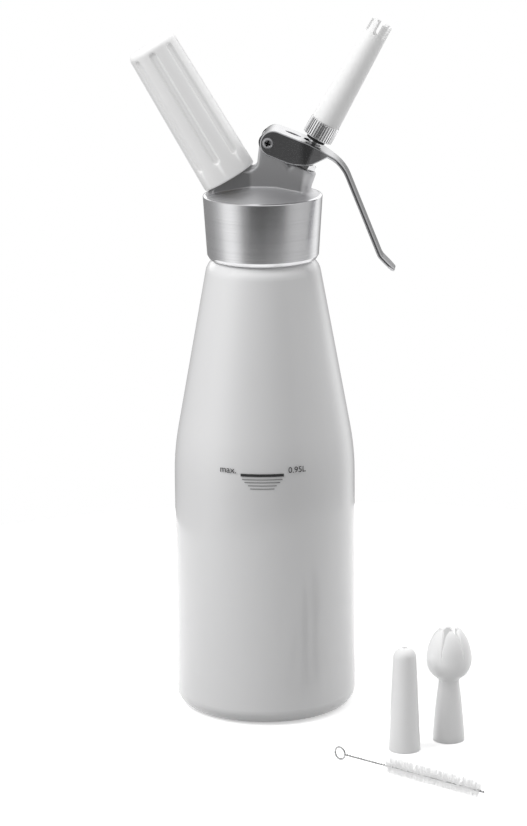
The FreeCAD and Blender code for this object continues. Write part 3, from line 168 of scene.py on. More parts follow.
class TipSettings(PropertyGroup):
    """The charger holder, the knurled adapter and the decorating tips."""
    plastic: colour("White plastic", "Colour of the moulded pieces", 0.78, 0.78, 0.78)
    adapter_foot: spot("Adapter foot", "Centre of the adapter's foot", 29.05, 0.0, 310.65)
    adapter_radius: length("Adapter radius", "Radius over the knurling", 8.2)
    adapter_height: length("Adapter height", "Height of the knurled collar", 9.3)
    ring_radius: length("Ring radius", "Radius of the black ring under the adapter", 5.2)
    knurl_depth: length("Knurl depth", "Depth of the knurling", 0.42)
    knurl_teeth: count("Knurl teeth", "Teeth round the collar", 38, 12, 200)
    spigot_radius: length("Spigot radius", "Radius of the spigot for the tips", 6.1)
    holder_face: spot("Holder face", "Centre of the charger boss's face", -17.25, 0.0, 288.85)
    holder_length: length("Holder length", "Height of its closed end over the boss", 81.6)
    holder_mouth_radius: length("Holder mouth", "Radius at the holder's mouth", 14.9)
    holder_top_radius: length("Holder top", "Radius at the holder's closed end", 13.55)
    flute_count: count("Flutes", "Flutes round the holder", 8, 3, 24)
    flute_width: length("Flute width", "Width of a flute", 4.2)
    flute_depth: length("Flute depth", "Depth of a flute", 0.9)
    petal_count: count("Petals", "Petals round the tulip tip", 6, 3, 12)
    # The painted glow on the tulip's inward faces starts at this height.
    petal_foot: length("Petal foot", "Height from which the petals' insides show", 38.0)
    petal_turn: angle("Petal turn", "Turn of the first cut from the front", -18.0)


class BrushSettings(PropertyGroup):
    """The small cleaning brush."""
    ring_centre: spot("Ring centre", "Centre of the wire ring", 46.8, -98.5, 3.75)
    heading: angle("Heading", "Direction of the brush from +X", -35.0)
    reach: length("Reach", "From the ring's centre to the far end", 92.8)
    radius: length("Radius", "From the wire's middle to the lower bristles' ends", 3.75)
    bristle_start: length("Bristle start", "Where the bristles begin", 31.5)
    bristle_end: length("Bristle end", "Where the bristles end", 90.5)
    tuft_pitch: length("Tuft pitch", "Distance from one tuft to the next", 3.7)
    nylon: colour("Bristles", "Colour of the nylon bristles", 0.8, 0.8, 0.8)


class StageSettings(PropertyGroup):
    """Floor, light and camera."""
    floor_radius: length("Floor radius", "Radius of the round table top", 420.0)
    camera_place: spot("Camera", "Where the camera stands", 158.56, -1816.3, 617.5)
    camera_target: spot("Target", "Where the camera looks", -0.42, 0.0, 160.6)
    camera_roll: angle("Roll", "Turn of the camera about its view", -0.433)
    focal_length: FloatProperty(name="Focal length", description="Lens, for a 36 mm high frame",
                                default=152.54, unit="CAMERA")
    room_light: share("Room light", "Level of the even light on the object", 0.44)


class DispenserSettings(PropertyGroup):
    """All settings of the dispenser."""
    bottle: PointerProperty(type=BottleSettings)
    head: PointerProperty(type=HeadSettings)
    lever: PointerProperty(type=LeverSettings)
    tips: PointerProperty(type=TipSettings)
    brush: PointerProperty(type=BrushSettings)
    stage: PointerProperty(type=StageSettings)


# ---- shader maths ----------------------------------------------------------------------
class Value:
    """Wraps a node's output, so that arithmetic on it adds Math nodes."""

    def __init__(self, finish, output):
        self.finish = finish
        self.output = output

    def maths(self, operation, first, second):
        return self.finish.node("ShaderNodeMath", {"operation": operation},
                                {0: first, 1: second})

    def __add__(self, other):
        return self.maths("ADD", self, other)

    def __mul__(self, other):
        return self.maths("MULTIPLY", self, other)

    def __rsub__(self, other):
        return self.maths("SUBTRACT", other, self)

    __radd__ = __add__


class Finish:
    """The node tree of a new material, or of a world that is handed in."""

    def __init__(self, name, world=None):
        self.material = world or bpy.data.materials.new(name)
        self.material.use_nodes = True
        self.tree = self.material.node_tree
        self.tree.nodes.clear()

    def node(self, kind, settings=None, inputs=None, output=0):
        """Add a node: its settings first, then the values or links of its sockets."""
        made = self.tree.nodes.new(kind)
        for key, value in (settings or {}).items():
            if key == "stops":
                stops = made.color_ramp.elements
                while len(stops) < len(value):
                    stops.new(1.0)
                for stop, (position, level) in zip(stops, value):
                    stop.position = position
                    stop.color = (level, level, level, 1.0)
            else:
                setattr(made, key, value)
        for key, value in (inputs or {}).items():
            if isinstance(value, Value):
                self.tree.links.new(value.output, made.inputs[key])
            else:
                made.inputs[key].default_value = value
        return Value(self, made.outputs[output]) if len(made.outputs) else None

    def coordinates(self, axis=None):
        """Object coordinates, or one axis of them."""
        place = self.node("ShaderNodeTexCoord", output="Object")
        if axis is None:
            return place
        return self.node("ShaderNodeSeparateXYZ", None, {0: place}, output=axis)

    def vector(self, operation, first, second=None, output=0):
        """Vector maths on a value, with three numbers where it takes two inputs."""
        inputs = {0: first} if second is None else {0: first, 1: tuple(second)}
        return self.node("ShaderNodeVectorMath", {"operation": operation}, inputs, output)

    def distance(self, place):
        """Length of a vector."""
        return self.vector("LENGTH", place, output="Value")

    def stretched(self, stretch, turn=(0, 0, 0), centre=(0, 0, 0)):
        """Object coordinates, moved so that a centre is zero, then stretched and turned."""
        moved = self.vector("SUBTRACT", self.coordinates(), centre)
        return self.node("ShaderNodeMapping", {"vector_type": "POINT"},
                         {"Vector": moved, "Rotation": turn, "Scale": stretch})

    def ramp(self, value, zero_at, one_at, kind="LINEAR"):
        """0 up to one value and 1 from another on."""
        return self.node("ShaderNodeMapRange", {"interpolation_type": kind},
                         {"Value": value, "From Min": zero_at, "From Max": one_at})

    def ray(self, kind):
        """1 where light is followed for one purpose, such as the camera, and 0 elsewhere."""
        return self.node("ShaderNodeLightPath", output="Is %s Ray" % kind)

    def noise(self, scale, detail=3.0, roughness=0.5, place=None):
        return self.node("ShaderNodeTexNoise", {"noise_dimensions": "3D"},
                         {"Vector": place or self.coordinates(), "Scale": scale,
                          "Detail": detail, "Roughness": roughness})

    def tint(self, amount, first, second):
        """From one colour to another by an amount."""
        return self.node("ShaderNodeMix", {"data_type": "RGBA"},
                         {"Factor": amount, 6: (*first, 1.0), 7: (*second, 1.0)}, output=2)

    def shades(self, amount, rgb, first, second):
        """From one share of a colour to another by an amount."""
        return self.tint(amount, *([min(1.0, part * level) for part in rgb]
                                   for level in (first, second)))

    def bump(self, height, strength, distance):
        return self.node("ShaderNodeBump", None,
                         {"Height": height, "Strength": strength, "Distance": distance})

    def surface(self, **sockets):
        """The shader, with underscores for the spaces in its sockets' names."""
        inputs = {key.replace("_", " "): value for key, value in sockets.items()}
        shader = self.node("ShaderNodeBsdfPrincipled", None, inputs)
        self.node("ShaderNodeOutputMaterial", None, {"Surface": shader})
        return self.material

    def metal(self, **sockets):
        return self.surface(Metallic=1.0, **sockets)


# ---- finishes --------------------------------------------------------------------------
# Painted shade for grooves and recesses.
PAINTED_SHADE_BLACK = (0.02, 0.02, 0.02)
# Painted glow: emission that lightens pieces which are no lamps.
PAINTED_GLOW = (1.0, 1.0, 1.0, 1.0)


def soft_finish(name, rgb, shades, scale, gloss, relief=None, **sockets):
    """A colour and a gloss that vary softly together, over a fine relief. The shades are two
    shares of the colour, the gloss is a roughness and its spread, and the relief is its
    noise's scale and detail, its strength and its depth in millimetres. A name is made once,
    and pieces share it."""
    if name in bpy.data.materials:
        return bpy.data.materials[name]
    finish = Finish(name)
    cloud = finish.noise(scale)
    if relief:
        fine, detail, strength, depth = relief
        sockets["Normal"] = finish.bump(finish.noise(fine, detail), strength, depth * MM)
    low, spread = gloss
    return finish.surface(Base_Color=finish.shades(cloud, rgb, *shades),
                          Roughness=low + cloud * spread, **sockets)


def white_lacquer(bottle):
    """Gloss white lacquer: faint clouding and a trace of orange peel."""
    return soft_finish("white_lacquer", bottle.lacquer, (0.985, 1.015), scale=14.0,
                       gloss=(0.3, 0.06), relief=(700.0, 1.0, 0.08, 0.04), Coat_Weight=0.7,
                       Coat_Roughness=0.09)


def white_plastic(tips):
    """Moulded white plastic with a fine satin skin, and a faint painted glow that lifts its
    shade.
    """
    return soft_finish("moulded_white", tips.plastic, (0.98, 1.02), scale=40.0,
                       gloss=(0.28, 0.08), relief=(1800.0, 1.0, 0.06, 0.03),
                       Subsurface_Weight=0.35, Subsurface_Radius=(1.0, 1.0, 1.0),
                       Subsurface_Scale=4 * MM, Emission_Color=PAINTED_GLOW,
                       Emission_Strength=0.1)


def painted_glow_plastic(tips):
    """The same plastic in the hollows of a thin piece, with a painted glow that stands in for
    light through the wall.
    """
    return soft_finish("moulded_white_painted_glow", tips.plastic, (0.98, 1.02), scale=40.0,
                       gloss=(0.4, 0.08), Emission_Color=PAINTED_GLOW, Emission_Strength=0.16)


def nylon(brush):
    """Nylon bristle with a faint painted glow that stands in for the light through it."""
    return soft_finish("bristle_nylon", brush.nylon, (0.9, 1.2), scale=900.0,
                       gloss=(0.35, 0.1), Emission_Color=PAINTED_GLOW, Emission_Strength=0.14)


def printed_ink(name, ink):
    """Screen-printed ink, slightly uneven."""
    return soft_finish(name, ink, (0.85, 1.3), scale=1500.0, gloss=(0.4, 0.1))


def black_rubber():
    """Moulded rubber with a dusty bloom."""
    return soft_finish("black_rubber", (0.01, 0.01, 0.01), (1.0, 3.5), scale=300.0,
                       gloss=(0.55, 0.2), relief=(2500.0, 3.0, 0.1, 0.04))


def turned_metal(head):
    """Lathe-turned metal: fine rings round the axis over a bright ground."""
    finish = Finish("turned_metal")
    rings = finish.noise(1.0, roughness=0.7, place=finish.stretched((2, 2, 1100)))
    broad = finish.noise(1.0, place=finish.stretched((6, 6, 260)))
    return finish.metal(
        Base_Color=finish.shades(rings * 0.7 + broad * 0.3, head.skirt_metal, 0.84, 1.16),
        Roughness=0.17 + rings * 0.1,
        Normal=finish.bump(rings, strength=0.1, distance=0.02 * MM))


def cast_metal(head):
    """Satin die casting: fine tumbled grain and soft clouding, with painted shade darkening the
    charger boss's cheek.
    """
    finish = Finish("cast_metal")
    edge, front = head.boss_shade_edge, -head.cheek
    left = finish.ramp(finish.coordinates("X"), edge + 0.5 * MM, edge - 1.2 * MM)
    on_cheek = finish.ramp(finish.coordinates("Y"), front - 1.2 * MM, front - 0.2 * MM)
    grain = finish.noise(2400.0, detail=2.0)
    # Painted shade over the charger boss's cheek, softly uneven.
    boss_painted_shade = left * on_cheek * (0.75 + finish.noise(90.0) * 0.25)
    return finish.metal(
        Base_Color=finish.shades(boss_painted_shade, head.cast_metal, 1.05, 0.62),
        Roughness=0.46 + grain * 0.1,
        Normal=finish.bump(grain, strength=0.18, distance=0.06 * MM))


def polished_sheet(lever):
    """Polished pressed sheet: hairline scratches, faint smears, and painted shade over the waist.
    """
    finish = Finish("polished_sheet")
    hairs = finish.noise(1.0, place=finish.stretched((40, 1500, 1500), (0, lever.tilt, 0), PIVOT))
    smears = finish.noise(60.0)
    start, end, along = lever.waist_shade_start, lever.waist_shade_end, finish.coordinates("X")
    # Painted shade over the waist's bend.
    waist = finish.ramp(along, start, start + 3 * MM) * finish.ramp(along, end, end - 4 * MM)
    return finish.metal(
        Base_Color=finish.shades(waist * (0.8 + smears * 0.2), lever.metal, 1.0, 0.5),
        Roughness=0.14 + smears * 0.08 + hairs * 0.02)


def bright_metal(name, ground, roughness):
    """Small turned or drawn metal pieces."""
    finish = Finish(name)
    fine = finish.noise(1500.0, detail=2.0)
    return finish.metal(
        Base_Color=finish.shades(finish.noise(160.0), ground, 0.88, 1.1),
        Roughness=roughness + fine * 0.1,
        Normal=finish.bump(fine, strength=0.08, distance=0.03 * MM))


def groove_shaded_metal(name, foot, axis, groove, crest, bright):
    """Bright metal round an axis, with painted shade where its surface dips from the crests to
    the grooves. What lies well inside the grooves is bright again."""
    finish = Finish(name)
    from_foot = finish.vector("SUBTRACT", finish.coordinates(), foot)
    reach = finish.distance(finish.vector("CROSS_PRODUCT", from_foot, axis))
    height = finish.ramp(reach, groove, crest)
    inner = finish.ramp(reach, groove - 0.5 * MM, groove - 0.8 * MM)
    return finish.metal(
        Base_Color=finish.tint(height + inner, PAINTED_SHADE_BLACK, (bright, bright, bright * 1.01)),
        Roughness=0.2 + finish.noise(220.0) * 0.1)


def screw_steel():
    """Plated screw: bright, with its cross recess in the middle of its head painted dark as
    shade.
    """
    finish = Finish("screw_steel")
    from_pivot = finish.vector("SUBTRACT", finish.coordinates(), PIVOT)
    seen_from_front = finish.vector("MULTIPLY", from_pivot, (1.0, 0.0, 1.0))
    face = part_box("pivot_screw")[0].y
    sunk = finish.ramp(finish.coordinates("Y"), face + 0.15 * MM, face + 0.3 * MM)
    middle = finish.ramp(finish.distance(seen_from_front), 2.1 * MM, 1.9 * MM)
    # Painted shade in the cross recess.
    return finish.metal(
        Base_Color=finish.tint(sunk * middle, (0.34, 0.34, 0.35), PAINTED_SHADE_BLACK),
        Roughness=0.3 + finish.noise(900.0) * 0.1)


# ---- modelling helpers -----------------------------------------------------------------
def start_clean():
    """Leave edit mode and select nothing."""
    active = bpy.context.view_layer.objects.active
    if active is not None and active.mode != "OBJECT":
        bpy.ops.object.mode_set(mode="OBJECT")
    bpy.ops.object.select_all(action="DESELECT")


def pick(*pieces):
    """Select some pieces alone and make the first of them active."""
    start_clean()
    for piece in pieces:
        piece.select_set(True)
    bpy.context.view_layer.objects.active = pieces[0]


@contextmanager
def editing(piece):
    """Edit mode on one piece, with all of it selected, and back again."""
    pick(piece)
    bpy.ops.object.mode_set(mode="EDIT")
    bpy.ops.mesh.select_mode(type="VERT")
    bpy.ops.mesh.select_all(action="SELECT")
    yield
    bpy.ops.object.mode_set(mode="OBJECT")


def select_rings(piece, *rings):
    """In edit mode, select the points and edges of some rings about Z alone."""
    mesh = bmesh.from_edit_mesh(piece.data)
    for vertex in mesh.verts:
        reach = math.hypot(vertex.co.x, vertex.co.y)
        vertex.select = any(abs(reach - radius) < SAME_PLACE
                            and abs(vertex.co.z - height) < SAME_PLACE
                            for radius, height in rings)
    mesh.select_flush(True)
    bmesh.update_edit_mesh(piece.data)


def facing_out(piece):
    """Recalculate the normals so that they point outwards."""
    with editing(piece):
        bpy.ops.mesh.normals_make_consistent(inside=False)


def smooth(piece, degrees=32):
    """Smooth shading over every edge that turns by less."""
    pick(piece)
    bpy.ops.object.shade_smooth_by_angle(angle=math.radians(degrees))


def apply_modifier(piece, kind, **settings):
    """Add a modifier with its settings and apply it."""
    pick(piece)
    modifier = piece.modifiers.new(kind.lower(), kind)
    for key, value in settings.items():
        setattr(modifier, key, value)
    bpy.ops.object.modifier_apply(modifier=modifier.name)


def shifted(place):
    return Matrix.Translation(Vector(place))


def turned(radians, axis=Z_AXIS):
    return Matrix.Rotation(radians, 4, axis)


def settle(piece):
    """Put the object's place, turn and size in its mesh."""
    pick(piece)
    bpy.ops.object.transform_apply(location=True, rotation=True, scale=True)


def move(piece, matrix):
    """Move a piece, and put its new place in its mesh."""
    piece.matrix_world = matrix @ piece.matrix_world
    settle(piece)


def added(name):
    """The primitive just added, with its name, and with its place in its mesh."""
    piece = bpy.context.object
    piece.name = name
    settle(piece)
    return piece


def joined(name, pieces):
    """Some pieces made one."""
    pick(*pieces)
    bpy.ops.object.join()
    bpy.context.object.name = name
    return bpy.context.object


def on_axis(piece, foot, axis, spin=0.0):
    """Stand a piece that was modelled on Z on a point, along an axis in the XZ plane."""
    lean = math.atan2(axis.x, axis.z)
    move(piece, shifted(foot) @ turned(lean, Y_AXIS) @ turned(spin))


def sink_in(vertex, radius, depth):
    """Move a point that lies at a radius from Z nearer to it."""
    vertex.co.x *= (radius - depth) / radius
    vertex.co.y *= (radius - depth) / radius


def finish_piece(piece, body, material, slot, *nodes):
    """Give a piece its material and its body, and hide the CAD nodes that it stands for."""
    piece.data.materials.clear()
    piece.data.materials.append(material)
    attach(piece, body)
    if nodes:
        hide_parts(*nodes)


def rounded(outline, hollow):
    """The outline's points, with an arc of points in place of each rounded corner."""
    around = outline if hollow else [(0, outline[0][1], 0)] + outline + [(0, outline[-1][1], 0)]
    points = []
    for index, (radius, height, rounding) in enumerate(around):
        corner = Vector((radius, height))
        if rounding <= 0:
            points.append(corner)
            continue
        back = (Vector(around[index - 1][:2]) - corner).normalized()
        ahead = (Vector(around[(index + 1) % len(around)][:2]) - corner).normalized()
        half = back.angle(ahead) / 2
        middle = corner + (back + ahead).normalized() * (rounding / math.sin(half))
        start = corner + back * (rounding / math.tan(half)) - middle
        end = corner + ahead * (rounding / math.tan(half)) - middle
        turn = math.pi - 2 * half
        steps = max(2, math.ceil(turn / ARC_STEP))
        for step in range(steps + 1):
            along = step / steps
            blend = start * math.sin(turn * (1 - along)) + end * math.sin(turn * along)
            points.append(middle + blend.normalized() * rounding)
    return points if hollow else points[1:-1]


def lathe(name, outline, steps, hollow=False):
    """Turned piece about Z: a circle is extruded from ring to ring of an outline.
    An outline's point is (radius, height, rounding). A hollow piece ends where it started."""
    start_clean()
    rings = rounded(outline, hollow)
    bpy.ops.mesh.primitive_circle_add(vertices=steps, radius=rings[0][0],
                                      location=(0, 0, rings[0][1]))
    piece = added(name)
    with editing(piece):
        for here, there in zip(rings, rings[1:]):
            rise = (0, 0, there[1] - here[1])
            bpy.ops.mesh.extrude_region_move(TRANSFORM_OT_translate={"value": rise})
            widen = there[0] / here[0]
            bpy.ops.transform.resize(value=(widen, widen, 1), center_override=(0, 0, 0))
        if hollow:
            select_rings(piece, rings[0], rings[-1])
            bpy.ops.mesh.bridge_edge_loops()
        else:
            for ring in (rings[0], rings[-1]):
                select_rings(piece, ring)
                bpy.ops.mesh.edge_face_add()
    facing_out(piece)
    return piece


def slab(name, outline, near, far):
    """Flat piece with an outline in XZ, between two distances along Y."""
    start_clean()
    bpy.ops.mesh.primitive_circle_add(vertices=len(outline), fill_type="NGON")
    piece = added(name)
    for vertex, (x, z) in zip(piece.data.vertices, outline):
        vertex.co = Vector((x, near, z))
    with editing(piece):
        bpy.ops.mesh.extrude_region_move(TRANSFORM_OT_translate={"value": (0, far - near, 0)})
    facing_out(piece)
    return piece


def merged_copy(node, name):
    """A copy of a CAD node with its loose triangles joined."""
    start_clean()
    piece = frame["nodes"][node].copy()
    piece.data = piece.data.copy()
    piece.name = name
    piece.data.name = name
    piece.parent = None
    piece.hide_viewport = piece.hide_render = False
    for key in list(piece.keys()):
        del piece[key]
    bpy.context.scene.collection.objects.link(piece)
    with editing(piece):
        bpy.ops.mesh.customdata_custom_splitnormals_clear()
        bpy.ops.mesh.remove_doubles(threshold=MERGE_DISTANCE)
    return piece


# ---- pieces ----------------------------------------------------------------------------
class DISPENSER_OT_bottle(Operator):
    """Lacquer the bottle"""
    bl_idname = "dispenser.bottle"
    bl_label = "Bottle"

    def execute(self, context):
        lacquer = white_lacquer(context.scene.dispenser.bottle)
        frame["nodes"]["bottle"].material_slots[0].material = lacquer
        return {"FINISHED"}


UPRIGHT = (QUARTER_TURN, 0, 0)
MARK_FACING = math.radians(3.4)
INK_LIFT, INK_THICKNESS, FINE_STROKE = 0.02 * MM, 0.05 * MM, 0.45 * MM
# Each fine line's length, as a share of the fill line's, and its drop below it.
FINE_LINES = ((0.93, 2.3 * MM), (0.82, 3.9 * MM), (0.66, 5.6 * MM), (0.56, 7.3 * MM))
# The word before the line is a little larger. Both words keep a distance from the line's end.
WORD_SCALE, WORD_REACH, VOLUME_GAP = 1.12, 11.6 * MM, 2.5 * MM


def print_on(piece, height, ink):
    """Bend a flat piece, drawn in XZ about its centre, round the front of the bottle."""
    radius = BOTTLE_RADIUS + INK_LIFT
    for vertex in piece.data.vertices:
        turn = vertex.co.x / radius + MARK_FACING
        reach = radius + vertex.co.y
        vertex.co = Vector((reach * math.sin(turn), -reach * math.cos(turn),
                            height + vertex.co.z))
    apply_modifier(piece, "SOLIDIFY", thickness=INK_THICKNESS, offset=1.0)
    facing_out(piece)
    finish_piece(piece, "bottle", ink, "black_rubber")


def print_bar(name, length_round, stroke, height, ink):
    start_clean()
    bpy.ops.mesh.primitive_plane_add(size=1.0, rotation=UPRIGHT)
    bpy.context.object.scale = (length_round, stroke, 1)
    piece = added(name)
    with editing(piece):
        bpy.ops.mesh.subdivide(number_cuts=15)
    print_on(piece, height, ink)


def print_words(name, text, size, left, height, ink):
    start_clean()
    bpy.ops.object.text_add(rotation=UPRIGHT)
    words = bpy.context.object.data
    words.body, words.size, words.align_y = text, size, "CENTER"
    bpy.ops.object.convert(target="MESH")
    piece = added(name)
    shift = left - min(vertex.co.x for vertex in piece.data.vertices)
    piece.data.transform(shifted((shift, 0, 0)))
    print_on(piece, height, ink)


class DISPENSER_OT_fill_mark(Operator):
    """Print the fill line, its finer lines and the capacity text round the bottle"""
    bl_idname = "dispenser.fill_mark"
    bl_label = "Fill mark"

    def execute(self, context):
        bottle = context.scene.dispenser.bottle
        ink = printed_ink("mark_ink", bottle.mark_ink)
        pale = printed_ink("pale_ink", bottle.pale_ink)
        height, bar = bottle.mark_height, bottle.bar_length
        print_bar("fill_line", bar, bottle.bar_width, height, ink)
        for number, (part, drop) in enumerate(FINE_LINES, 1):
            print_bar("fine_line_%d" % number, bar * part, FINE_STROKE, height - drop, pale)
        size, middle = bottle.letter_height, height + bottle.word_rise
        print_words("full_word", bottle.full_text, size * WORD_SCALE, -bar / 2 - WORD_REACH,
                    middle, ink)
        print_words("volume_word", bottle.volume_text, size, bar / 2 + VOLUME_GAP, middle, ink)
        return {"FINISHED"}


def dome_height(head, radius):
    return head.dome_top - max(0.0, radius - head.dome_flat) * head.dome_slope


def turn_skirt(head):
    low, split, seat = head.skirt_low, head.skirt_split, head.gasket_seat
    foot, top = head.skirt_low_radius, head.skirt_top_radius
    bore, recess = head.bore_radius, head.recess_radius
    chamfer, chamfer_height, lead_in = 1.2 * MM, 2.0 * MM, 1.0 * MM
    fine_edge, chamfer_edge, rim_edge = 0.25 * MM, 0.9 * MM, 0.7 * MM
    rim_inside, over_dome = top - 1.5 * MM, 0.06 * MM
    return lathe("head_skirt", [
        (foot - chamfer, low, fine_edge), (foot, low + chamfer_height, chamfer_edge),
        (top, head.skirt_full_height, rim_edge),
        (rim_inside, dome_height(head, rim_inside) + over_dome, 0), (rim_inside, split, 0),
        (recess, split, 0), (recess, seat, 0), (bore, seat, 0), (bore, low + lead_in, 0),
        (bore + lead_in, low, fine_edge),
    ], steps=160, hollow=True)


def shape_casting(casting, head):
    """Draw the dome's edge in under the skirt's rim, and press the bosses' front and back
    flat, flush with the lug between them."""
    edge = head.skirt_top_radius - 0.7 * MM
    for vertex in casting.data.vertices:
        place = vertex.co
        around = math.hypot(place.x, place.y)
        if around > edge:
            place.x *= edge / around
            place.y *= edge / around
        if place.z > dome_height(head, around) + head.cheek_clearance:
            place.y = max(-head.cheek, min(head.cheek, place.y))


class DISPENSER_OT_head(Operator):
    """Turn the head's skirt and blend its cast top"""
    bl_idname = "dispenser.head"
    bl_label = "Head"

    def execute(self, context):
        head = context.scene.dispenser.head
        skirt = turn_skirt(head)
        smooth(skirt)
        finish_piece(skirt, "head", turned_metal(head), "head_casting", "head")

        casting = merged_copy("head", "head_casting")
        apply_modifier(casting, "REMESH", mode="VOXEL", voxel_size=head.grain)
        shape_casting(casting, head)
        apply_modifier(casting, "SMOOTH", factor=0.5, iterations=head.soften)
        with editing(casting):
            bpy.ops.mesh.bisect(plane_co=(0, 0, head.skirt_split), plane_no=(0, 0, 1),
                                use_fill=True, clear_inner=True)
        facing_out(casting)
        smooth(casting, 60)
        finish_piece(casting, "head", cast_metal(head), "head_casting", "head")
        return {"FINISHED"}


def lip_round_ears(lever):
    """Thin lip that carries the lever's web on round the ends of its ears."""
    thickness, half = 0.8 * MM, lever.web_width / 2
    outer, inner = lever.ear_radius, lever.ear_radius - thickness
    turns = [math.radians(degrees) for degrees in range(100, 165, 8)]
    arc = [(math.cos(turn), math.sin(turn)) for turn in turns]
    lip = slab("web_lip", [(outer * x, outer * z) for x, z in arc]
               + [(inner * x, inner * z) for x, z in reversed(arc)], -half, half)
    move(lip, shifted(PIVOT) @ turned(lever.tilt, Y_AXIS) @ shifted(lever.ear_centre))
    return lip


class DISPENSER_OT_lever(Operator):
    """Round the pressed lever's edges, carry its web round the ears and polish it"""
    bl_idname = "dispenser.lever"
    bl_label = "Lever"

    def execute(self, context):
        lever = context.scene.dispenser.lever
        sheet = merged_copy("lever", "squeeze_lever")
        with editing(sheet):
            bpy.ops.mesh.dissolve_limited(angle_limit=math.radians(1.0))
        apply_modifier(sheet, "BEVEL", width=lever.edge_round, segments=3,
                       limit_method="ANGLE", angle_limit=math.radians(40),
                       harden_normals=False)
        sheet = joined("squeeze_lever", [sheet, lip_round_ears(lever)])
        smooth(sheet)
        apply_modifier(sheet, "WEIGHTED_NORMAL", keep_sharp=True)
        finish_piece(sheet, "lever", polished_sheet(lever), "lever_metal", "lever")
        return {"FINISHED"}


class DISPENSER_OT_adapter(Operator):
    """Turn and knurl the collar that carries the decorating tip, and the ring under it"""
    bl_idname = "dispenser.adapter"
    bl_label = "Tip adapter"

    def execute(self, context):
        tips = context.scene.dispenser.tips
        foot, radius, height = tips.adapter_foot, tips.adapter_radius, tips.adapter_height
        groove, rim = radius - tips.knurl_depth, radius - 0.15 * MM
        band_low, band_high, edge = 0.4 * MM, height - 0.3 * MM, 0.2 * MM
        socket, socket_top, passage = 3.5 * MM, 7.3 * MM, 2.8 * MM
        spigot, spigot_top, spigot_edge = tips.spigot_radius, height + 6.5 * MM, 0.5 * MM
        points_a_tooth = 4
        steps = points_a_tooth * tips.knurl_teeth
        adapter = lathe("tip_adapter_collar", [
            (socket, 0, 0), (rim, 0, edge), (rim, band_low, 0), (radius, band_low + edge, 0),
            (radius, band_high - edge, 0), (rim, band_high, 0), (rim, height, edge),
            (spigot, height, 0), (spigot, spigot_top, spigot_edge), (passage, spigot_top, 0),
            (passage, socket_top, 0), (socket, socket_top, 0),
        ], steps=steps, hollow=True)
        for vertex in adapter.data.vertices:
            turn = math.atan2(vertex.co.y, vertex.co.x) % FULL_TURN
            on_crest = abs(math.hypot(vertex.co.x, vertex.co.y) - radius) < SAME_PLACE
            if on_crest and round(turn / FULL_TURN * steps) % points_a_tooth == 0:
                sink_in(vertex, radius, tips.knurl_depth)
        smooth(adapter, 25)
        on_axis(adapter, foot, VALVE_AXIS)
        # Painted shade in the knurl's grooves.
        metal = groove_shaded_metal("knurled_metal", foot, VALVE_AXIS, groove,
                              groove + tips.knurl_depth * 0.6, bright=0.8)
        finish_piece(adapter, "adapter", metal, "adapter_metal", "tip_adapter")

        bore, outside, low = 3.35 * MM, tips.ring_radius, -2.0 * MM
        ring = lathe("adapter_ring", [(bore, low, 0.3 * MM), (outside, low, 0.4 * MM),
                                      (outside, 0, 0), (bore, 0, 0)], steps=64, hollow=True)
        smooth(ring)
        on_axis(ring, foot, VALVE_AXIS)
        finish_piece(ring, "adapter", black_rubber(), "black_rubber", "adapter_seal")
        return {"FINISHED"}


def press_flutes(holder, tips, low, high):
    """Sink round-ended flutes into the holder's wall, between two heights."""
    outer_wall, flank, half = 12.5 * MM, 0.75 * MM, tips.flute_width / 2
    pitch = FULL_TURN / tips.flute_count
    for vertex in holder.data.vertices:
        around = math.hypot(vertex.co.x, vertex.co.y)
        if around < outer_wall or not low < vertex.co.z < high:
            continue
        turn = math.atan2(vertex.co.y, vertex.co.x) + QUARTER_TURN
        aside = math.remainder(turn, pitch) * around
        beyond = max(low + half - vertex.co.z, vertex.co.z - high + half, 0.0)
        inside = half - math.hypot(aside, beyond)
        if inside > 0:
            slope = min(1.0, inside / flank)
            sink_in(vertex, around, slope * slope * (3 - 2 * slope) * tips.flute_depth)


class DISPENSER_OT_holder(Operator):
    """Mould the fluted charger holder"""
    bl_idname = "dispenser.holder"
    bl_label = "Charger holder"

    def execute(self, context):
        tips = context.scene.dispenser.tips
        mouth, top = tips.holder_mouth_radius, tips.holder_top_radius
        full, seat = tips.holder_length, 0.4 * MM
        flute_low, flute_high = 10.5 * MM, full - 3.4 * MM
        bore, bore_end, bore_edge = 9.6 * MM, 74.5 * MM, 7.0 * MM
        thread, thread_end = 11.4 * MM, 14.4 * MM
        mouth_edge, top_edge = 0.8 * MM, 3.0 * MM
        # Rings lie close together at each end of the flutes, for their round ends.
        end_zone, fine = tips.flute_width * 0.75, 9
        steps = [end_zone * step / fine for step in range(fine + 1)]
        heights = [flute_low + step for step in steps]
        heights += [flute_high - step for step in reversed(steps)]
        walls = [(mouth + (top - mouth) * (height - seat) / (full - seat), height, 0)
                 for height in heights]
        holder = lathe("fluted_holder", [
            (bore, bore_end, bore_edge), (bore, thread_end, 0), (thread, thread_end, 0),
            (thread, seat, 0), (mouth, seat, mouth_edge), *walls, (top, full, top_edge),
        ], steps=tips.flute_count * 26)
        press_flutes(holder, tips, flute_low, flute_high)
        smooth(holder, 50)
        on_axis(holder, tips.holder_face, CHARGER_AXIS, spin=math.radians(2.0))
        finish_piece(holder, "holder", white_plastic(tips), "white_plastic", "charger_holder")
        return {"FINISHED"}


